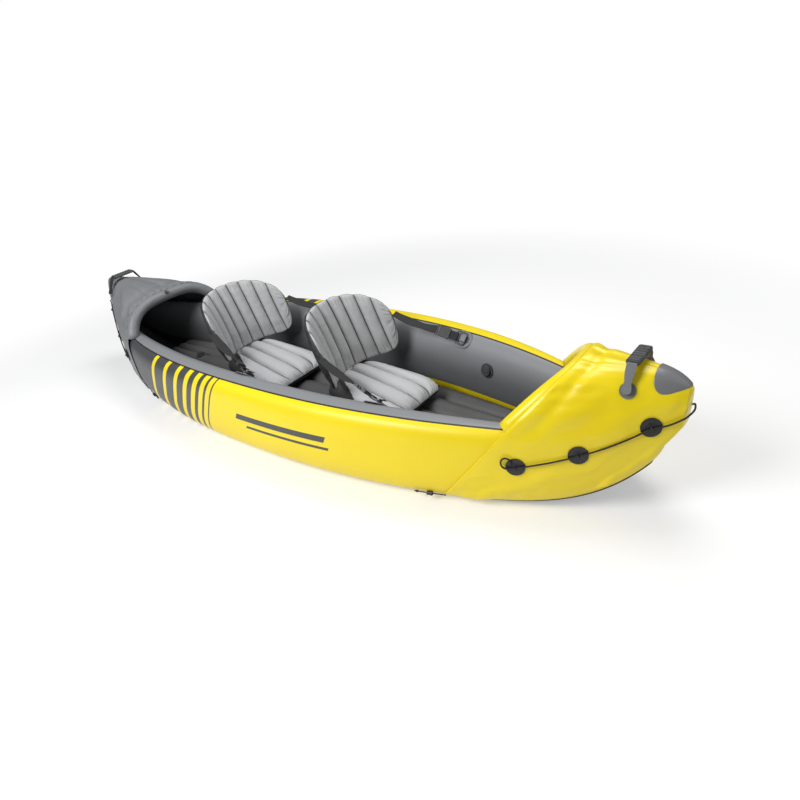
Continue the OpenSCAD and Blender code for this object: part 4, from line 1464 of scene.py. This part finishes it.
@dataclass
class Seat:
    """One seat: a channelled pad, a wrap-round backrest that reclines, and its two straps."""

    looks: Finishes
    word: str
    x: float
    radius: float = 0.236
    sweep: float = math.radians(66)
    height: float = 0.282
    base: float = 0.238026
    lean: float = math.tan(math.radians(19))
    thickness: float = 0.050
    wing: float = 0.58
    channels: int = 9
    pleat_depth: float = 0.009
    pad_channels: int = 4
    pad_width: float = 0.350
    pad_taper: float = 0.26
    pad_length: float = 0.345
    pad_behind: float = 0.046
    pad_rear: float = 0.254
    pad_front: float = 0.186
    pad_waist: float = 0.42
    seam_depth: float = 0.027
    rim_from: float = 0.952
    # Past these shares across, the pad's rear corners under the wings take the dark skin as painted shade.
    shade_corner_from: float = 0.40
    shade_corner_slope: float = 0.60
    back_from: float = 0.03
    fill: float = 0.8
    anchor_ahead: float = 0.382
    anchor_turn: float = math.radians(119)
    anchor_off: float = 0.0147
    buckle_length: float = 0.107
    web_width: float = 0.034
    web_spread: float = 0.010
    web_thickness: float = 0.003
    web_slack: float = 0.010

    def build(self) -> None:
        """Makes the cushions and straps."""
        self.pad()
        self.backrest()
        for side in Side:
            self.strap(side)

    def pad(self) -> None:
        """Makes the pad: two skins that meet at a waist, drawn in along seams between the channels.

        The top stands from the waist by the pad's slope less a seam's depth, times edge curves along and
        across, and pleats pucker its rim.
        """
        s = np.sin(np.linspace(-0.5, 0.5, 120) * math.pi)[:, None]
        t = np.sin(np.linspace(0.5, -0.5, self.pad_channels * 30 + 1) * math.pi * 0.94)[None]
        t = t / np.abs(t).max()
        base = LINES.sheet + LINES.gap + 0.92 * LINES.floor_height + LINES.gap
        line = self.pad_rear + (self.pad_front - self.pad_rear) * (s + 1) / 2
        waist = base + self.pad_waist * (line - base)
        wave = np.abs(np.sin(math.pi * self.pad_channels * (t + 1) / 2))
        groove = self.seam_depth * (1 - wave) ** 1.9 * arc(t, 8)
        ends = np.maximum(0.05, arc(s, 6))
        sides = np.maximum(0.03, arc(t, 5))
        top = waist + (line - waist - groove) * ends * sides
        rim = clamp01(1 - ends * sides) * clamp01(ends * sides * 3)
        pleat = creases(t + 0.02 * np.sin(11 * t), 11, 3) * smooth((np.abs(s) - 0.72) / 0.2)
        pleat = pleat + creases(s + 0.03 * np.sin(7 * s), 8, 3) * smooth((np.abs(t) - 0.84) / 0.12)
        top = top - self.pleat_depth * rim * pleat
        under = np.linspace(-0.97, 0.97, 60)[None]
        belly = np.maximum(0.05, arc(s, 8)) * np.maximum(0.03, arc(under, 6))
        low = waist - (waist - base - 0.0004) * belly
        shape = np.where(s > 0, arc(s, 5), arc(s, 9))
        half = 0.5 * self.pad_width * (1 - 0.3 * (1 - shape)) * (1 - self.pad_taper * (1 - s) / 2)
        x = self.x - self.pad_behind + (self.pad_length + self.pad_behind) * (s + 1) / 2
        upper = spread(x, half * t, top)
        lower = spread(x, half * under, low)
        across = np.concatenate([t, np.full((1, under.shape[1] + 1), 3.0)], 1)
        grid = GridMesh(np.concatenate([upper, lower], 1), spread(s, across))
        made = grid.object(f"{self.word}_seat_pad", self.looks.pad, self.looks.seat_dark, pick=self.gusset_and_shade)
        placed(made, "hull", "seat_vinyl", f"{self.word}_pad")

    def gusset_and_shade(self, place: Array) -> Array:
        """Picks the dark skin: the pad's black rim and underside, and its rear corners under the wings, which
        are dark as painted shade.
        """
        corner = self.shade_corner_from + self.shade_corner_slope * (place[:, 0] + 1)
        return (np.abs(place[:, 1]) > np.minimum(self.rim_from, corner)).astype(np.int32)

    def backing(self, place: Array) -> Array:
        """Picks the dark skin of the backrest's rear half."""
        return (np.cos(2 * math.pi * place[:, 1]) > self.back_from).astype(np.int32)

    def backrest(self) -> None:
        """Makes the backrest: rounded slices on an arc, swollen between upright seams by a sine's power."""
        v = np.clip(np.linspace(-1, 1, self.channels * 20 + 1), -0.995, 0.995)[:, None]
        a = full_turn(96)[None]
        side = self.wing * self.height
        high = side + (self.height - side) * arc(v, 2.5)
        low = 0.003 + (side - 0.003) * (1 - arc(v, 9))
        mid, half = 0.5 * (low + high), np.maximum(0.009, 0.5 * (high - low))
        wave = np.abs(np.sin(math.pi * self.channels * (v + 1) / 2))
        fill = (0.28 + 0.72 * wave ** 0.62) * (1 - 0.55 * np.abs(v) ** 6)
        c, s = np.cos(a), np.sin(a)
        rim = smooth((np.abs(s) - 0.72) / 0.2)
        pleat = creases(v + 0.012 * np.sin(23 * v), 19, 2.5) * smooth((np.abs(s) - 0.5) / 0.4)
        ends = creases(s + 0.05 * np.sin(5 * s), 5, 2.5) * smooth((np.abs(v) - 0.84) / 0.12)
        thick = 0.5 * np.maximum(0.011, self.thickness * fill)
        thick = thick - np.minimum(0.45 * thick, self.pleat_depth * (pleat + ends))
        thick = thick * (1 - 0.3 * smooth((-s - 0.35) / 0.5))
        h = mid + half * signed(s, 0.85) - 0.002 * rim * (1 - wave) * np.sign(s)
        r = self.radius + thick * signed(c, 0.62)
        f = v * self.sweep
        x = self.x + self.radius - r * np.cos(f) - h * self.lean
        chart = spread(v, np.linspace(0, 1, 97)[None])
        grid = GridMesh(spread(x, r * np.sin(f), self.base + h), chart)
        made = grid.object(f"{self.word}_seat_back", self.looks.back, self.looks.seat_dark, pick=self.backing)
        placed(made, f"{self.word}_back", "seat_vinyl", f"{self.word}_backrest")

    def strap(self, side: Side) -> None:
        """Makes the webbing from the buckle to the backrest's edge, broader near it, with a parabola's sag.

        Args:
            side: The side that the strap is on.
        """
        at, turn = np.array(self.x + self.anchor_ahead), np.array(self.anchor_turn)
        ahead = unit(LINES.tube(at + 0.002, turn) - LINES.tube(at - 0.002, turn))
        around = LINES.tube(at, turn + 0.0175) - LINES.tube(at, turn - 0.0175)
        outward = unit(np.cross(around, ahead))
        start = LINES.tube(at, turn) + self.anchor_off * outward
        rise = self.wing * self.height
        finish = np.array([self.x + self.radius * (1 - math.cos(self.sweep)) - rise * self.lean,
                           self.radius * math.sin(self.sweep) + 0.010, self.base + rise])
        way = unit(finish - start)
        long = float(np.linalg.norm(finish - start))
        q = np.linspace(0, 1, 48)
        run = self.buckle_length + LINES.gap + (long - self.buckle_length - 0.004) * q
        sag = self.web_slack * 4 * q * (1 - q)
        path = start + run[:, None] * way - sag[:, None] * UP
        width = self.web_width + self.web_spread * bell(q, 0.62, 0.22)
        flip = np.array([1.0, float(side.value), 1.0])
        turning = smooth(q / 0.4)[:, None]
        facing = unit((1 - turning) * outward + turning * (0.35 * outward + UP))
        across = unit(np.cross(facing, way))
        grid = swept_strap(path * flip, across * flip, width, self.web_thickness)
        made = grid.object(f"{self.word}_web_{side.word}", self.looks.web, flip=side is Side.PORT)
        tuple(path[0] * flip)
        tuple(path[-1] * flip)
        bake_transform(made)
        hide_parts(f"{self.word}_strap_{side.word}")
        LOG.info("%s blends from hull to %s_back", made.name, self.word)


@dataclass
class Fittings:
    """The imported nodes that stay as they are, with their finishes."""

    looks: Finishes

    def finish_of(self, node: str) -> Material:
        """The finish of a node, by the words in its name."""
        chosen = {
            "bottom_sheet": self.looks.floor, "guides": self.looks.plastic, "lock": self.looks.plastic,
            "handle_patches": self.looks.patch, "handle_grip": self.looks.grip, "valve": self.looks.fitting,
            "anchors": self.looks.inner, "rings": self.looks.fitting, "webbing": self.looks.web,
            "buckle": self.looks.plastic}
        return next((look for word, look in chosen.items() if word in node), self.looks.plastic)

    def dress(self) -> None:
        """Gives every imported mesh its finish."""
        for node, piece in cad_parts.items():
            self.give(piece, self.finish_of(node))

    @staticmethod
    def give(piece: bpy.types.Object, look: Material) -> None:
        """Puts one material in every slot of a piece.

        Args:
            piece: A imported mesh.
            look: Its finish.
        """
        for slot in piece.material_slots:
            slot.material = look
        if not piece.material_slots:
            piece.data.materials.append(look)


@dataclass
class Studio:
    """Floor, soft lights, white surround and camera."""

    target: Point = (0.365, 0.095, 0.066)
    azimuth: float = math.radians(41.752)
    elevation: float = math.radians(29.14)
    roll: float = math.radians(-9.377)
    distance: float = 2.727
    lens: float = 28.8
    sensor: float = 36.0
    view_reach: float = 200.0
    floor_half: float = 60.0
    floor_drop: float = 0.0008
    pool_radius: float = 2.3
    pool_soft: float = 0.7
    sky: Colour = (0.93, 0.96, 1.0)
    sky_strength: float = 0.16

    def build(self) -> None:
        """Makes the whole stage."""
        self.floor()
        self.lights()
        self.surround()
        self.camera()

    def floor(self) -> None:
        """Lays a plain pale floor just under the keel, with shadows near the hull and a glow farther off."""
        mesh = bpy.data.meshes.new("studio_floor")
        signs = ((-1, -1), (1, -1), (1, 1), (-1, 1))
        corners = [(x * self.floor_half, y * self.floor_half, -self.floor_drop) for x, y in signs]
        mesh.from_pydata(corners, [], [(0, 1, 2, 3)])
        paint = Paint("studio_floor")
        x, y, _ = paint.axes(paint.place())
        far = ((x * x + y * y) ** 0.5).step(self.pool_radius, self.pool_soft)
        seen = paint.node("ShaderNodeLightPath", output="Is Camera Ray")
        glow = paint.mix(far, self.grey(0.36), self.grey(1.0))
        mesh.materials.append(paint.done(
            Base_Color=paint.mix(far, self.grey(0.67), self.grey(0.02)), Roughness=1.0,
            Specular_IOR_Level=0.0, Emission_Color=paint.mix(seen, self.grey(0.25), glow),
            Emission_Strength=1.0))
        plane = bpy.data.objects.new("studio_floor", mesh)
        bpy.context.scene.collection.objects.link(plane)

    @staticmethod
    def grey(value: float) -> Colour:
        """A colour with all three parts alike."""
        return value, value, value

    def axes(self) -> Tuple[Vector, Vector, Vector]:
        """The camera's right, up and back directions.

        Returns:
            Three unit vectors.
        """
        back = Vector((math.sin(self.azimuth) * math.cos(self.elevation),
                       -math.cos(self.azimuth) * math.cos(self.elevation), math.sin(self.elevation)))
        level = Vector((math.cos(self.azimuth), math.sin(self.azimuth), 0))
        upright = back.cross(level)
        right = math.cos(self.roll) * level + math.sin(self.roll) * upright
        return right, back.cross(right), back

    def lights(self) -> None:
        """Hangs a broad key at the near side, a softbox above the far side and a weak fill from the right."""
        aim = Vector((0.1, 0, 0.2))
        plans = (("key", Vector((-0.5, -2.7, 2.7)), 2.0, 118.0),
                 ("top", Vector((0.4, 1.3, 3.5)), 2.4, 75.0),
                 ("fill", Vector((3.1, 0.3, 1.6)), 2.4, 14.0))
        for name, place, size, power in plans:
            light = bpy.data.lights.new(name, "AREA")
            light.shape = "DISK"
            light.size = size
            light.energy = power
            lamp = bpy.data.objects.new(name, light)
            lamp.location = aim + place
            lamp.rotation_euler = place.to_track_quat("Z", "Y").to_euler()
            bpy.context.scene.collection.objects.link(lamp)

    def surround(self) -> None:
        """Makes the surround white to the eye, and a soft pale blue as a light."""
        world = bpy.data.worlds.new("surround")
        bpy.context.scene.world = world
        nodes = Nodes(world)
        straight = nodes.node("ShaderNodeLightPath", output="Is Camera Ray")
        seen = straight.high(nodes.node("ShaderNodeLightPath", output="Is Transmission Ray"))
        light = nodes.node("ShaderNodeBackground", inputs={0: self.sky, 1: self.sky_strength})
        white = nodes.node("ShaderNodeBackground", inputs={0: self.grey(1.0), 1: 1.0})
        both = nodes.node("ShaderNodeMixShader", inputs={0: seen, 1: light, 2: white})
        nodes.node("ShaderNodeOutputWorld", inputs={"Surface": both})

    def camera(self) -> None:
        """Places the camera of the main view."""
        right, up, back = self.axes()
        place = Vector(self.target) + self.distance * back
        data = bpy.data.cameras.new("main_camera")
        data.lens = self.lens
        data.sensor_width = self.sensor
        data.clip_end = self.view_reach
        camera = bpy.data.objects.new("main_camera", data)
        rows = [(*values, spot) for values, spot in zip(zip(right, up, back), place)]
        camera.matrix_world = Matrix((*rows, (0, 0, 0, 1)))
        bpy.context.scene.collection.objects.link(camera)
        bpy.context.scene.camera = camera


def main() -> None:
    """Dresses the frame, adds the smooth pieces and sets the stage."""
    looks = Finishes()
    Fittings(looks).dress()
    SideTubes(looks).build()
    HullFloor(looks).build()
    for line in (BOW, STERN):
        EndCover(looks, line).build()
        EndCords(looks, line).build()
        CarryHandle(looks, line).build()
    Seat(looks, "front", 0.207).build()
    Seat(looks, "rear", -0.448).build()
    Studio().build()
    bpy.context.scene.view_settings.view_transform = "Standard"
    bpy.context.view_layer.update()


if __name__ == "__main__":
    main()
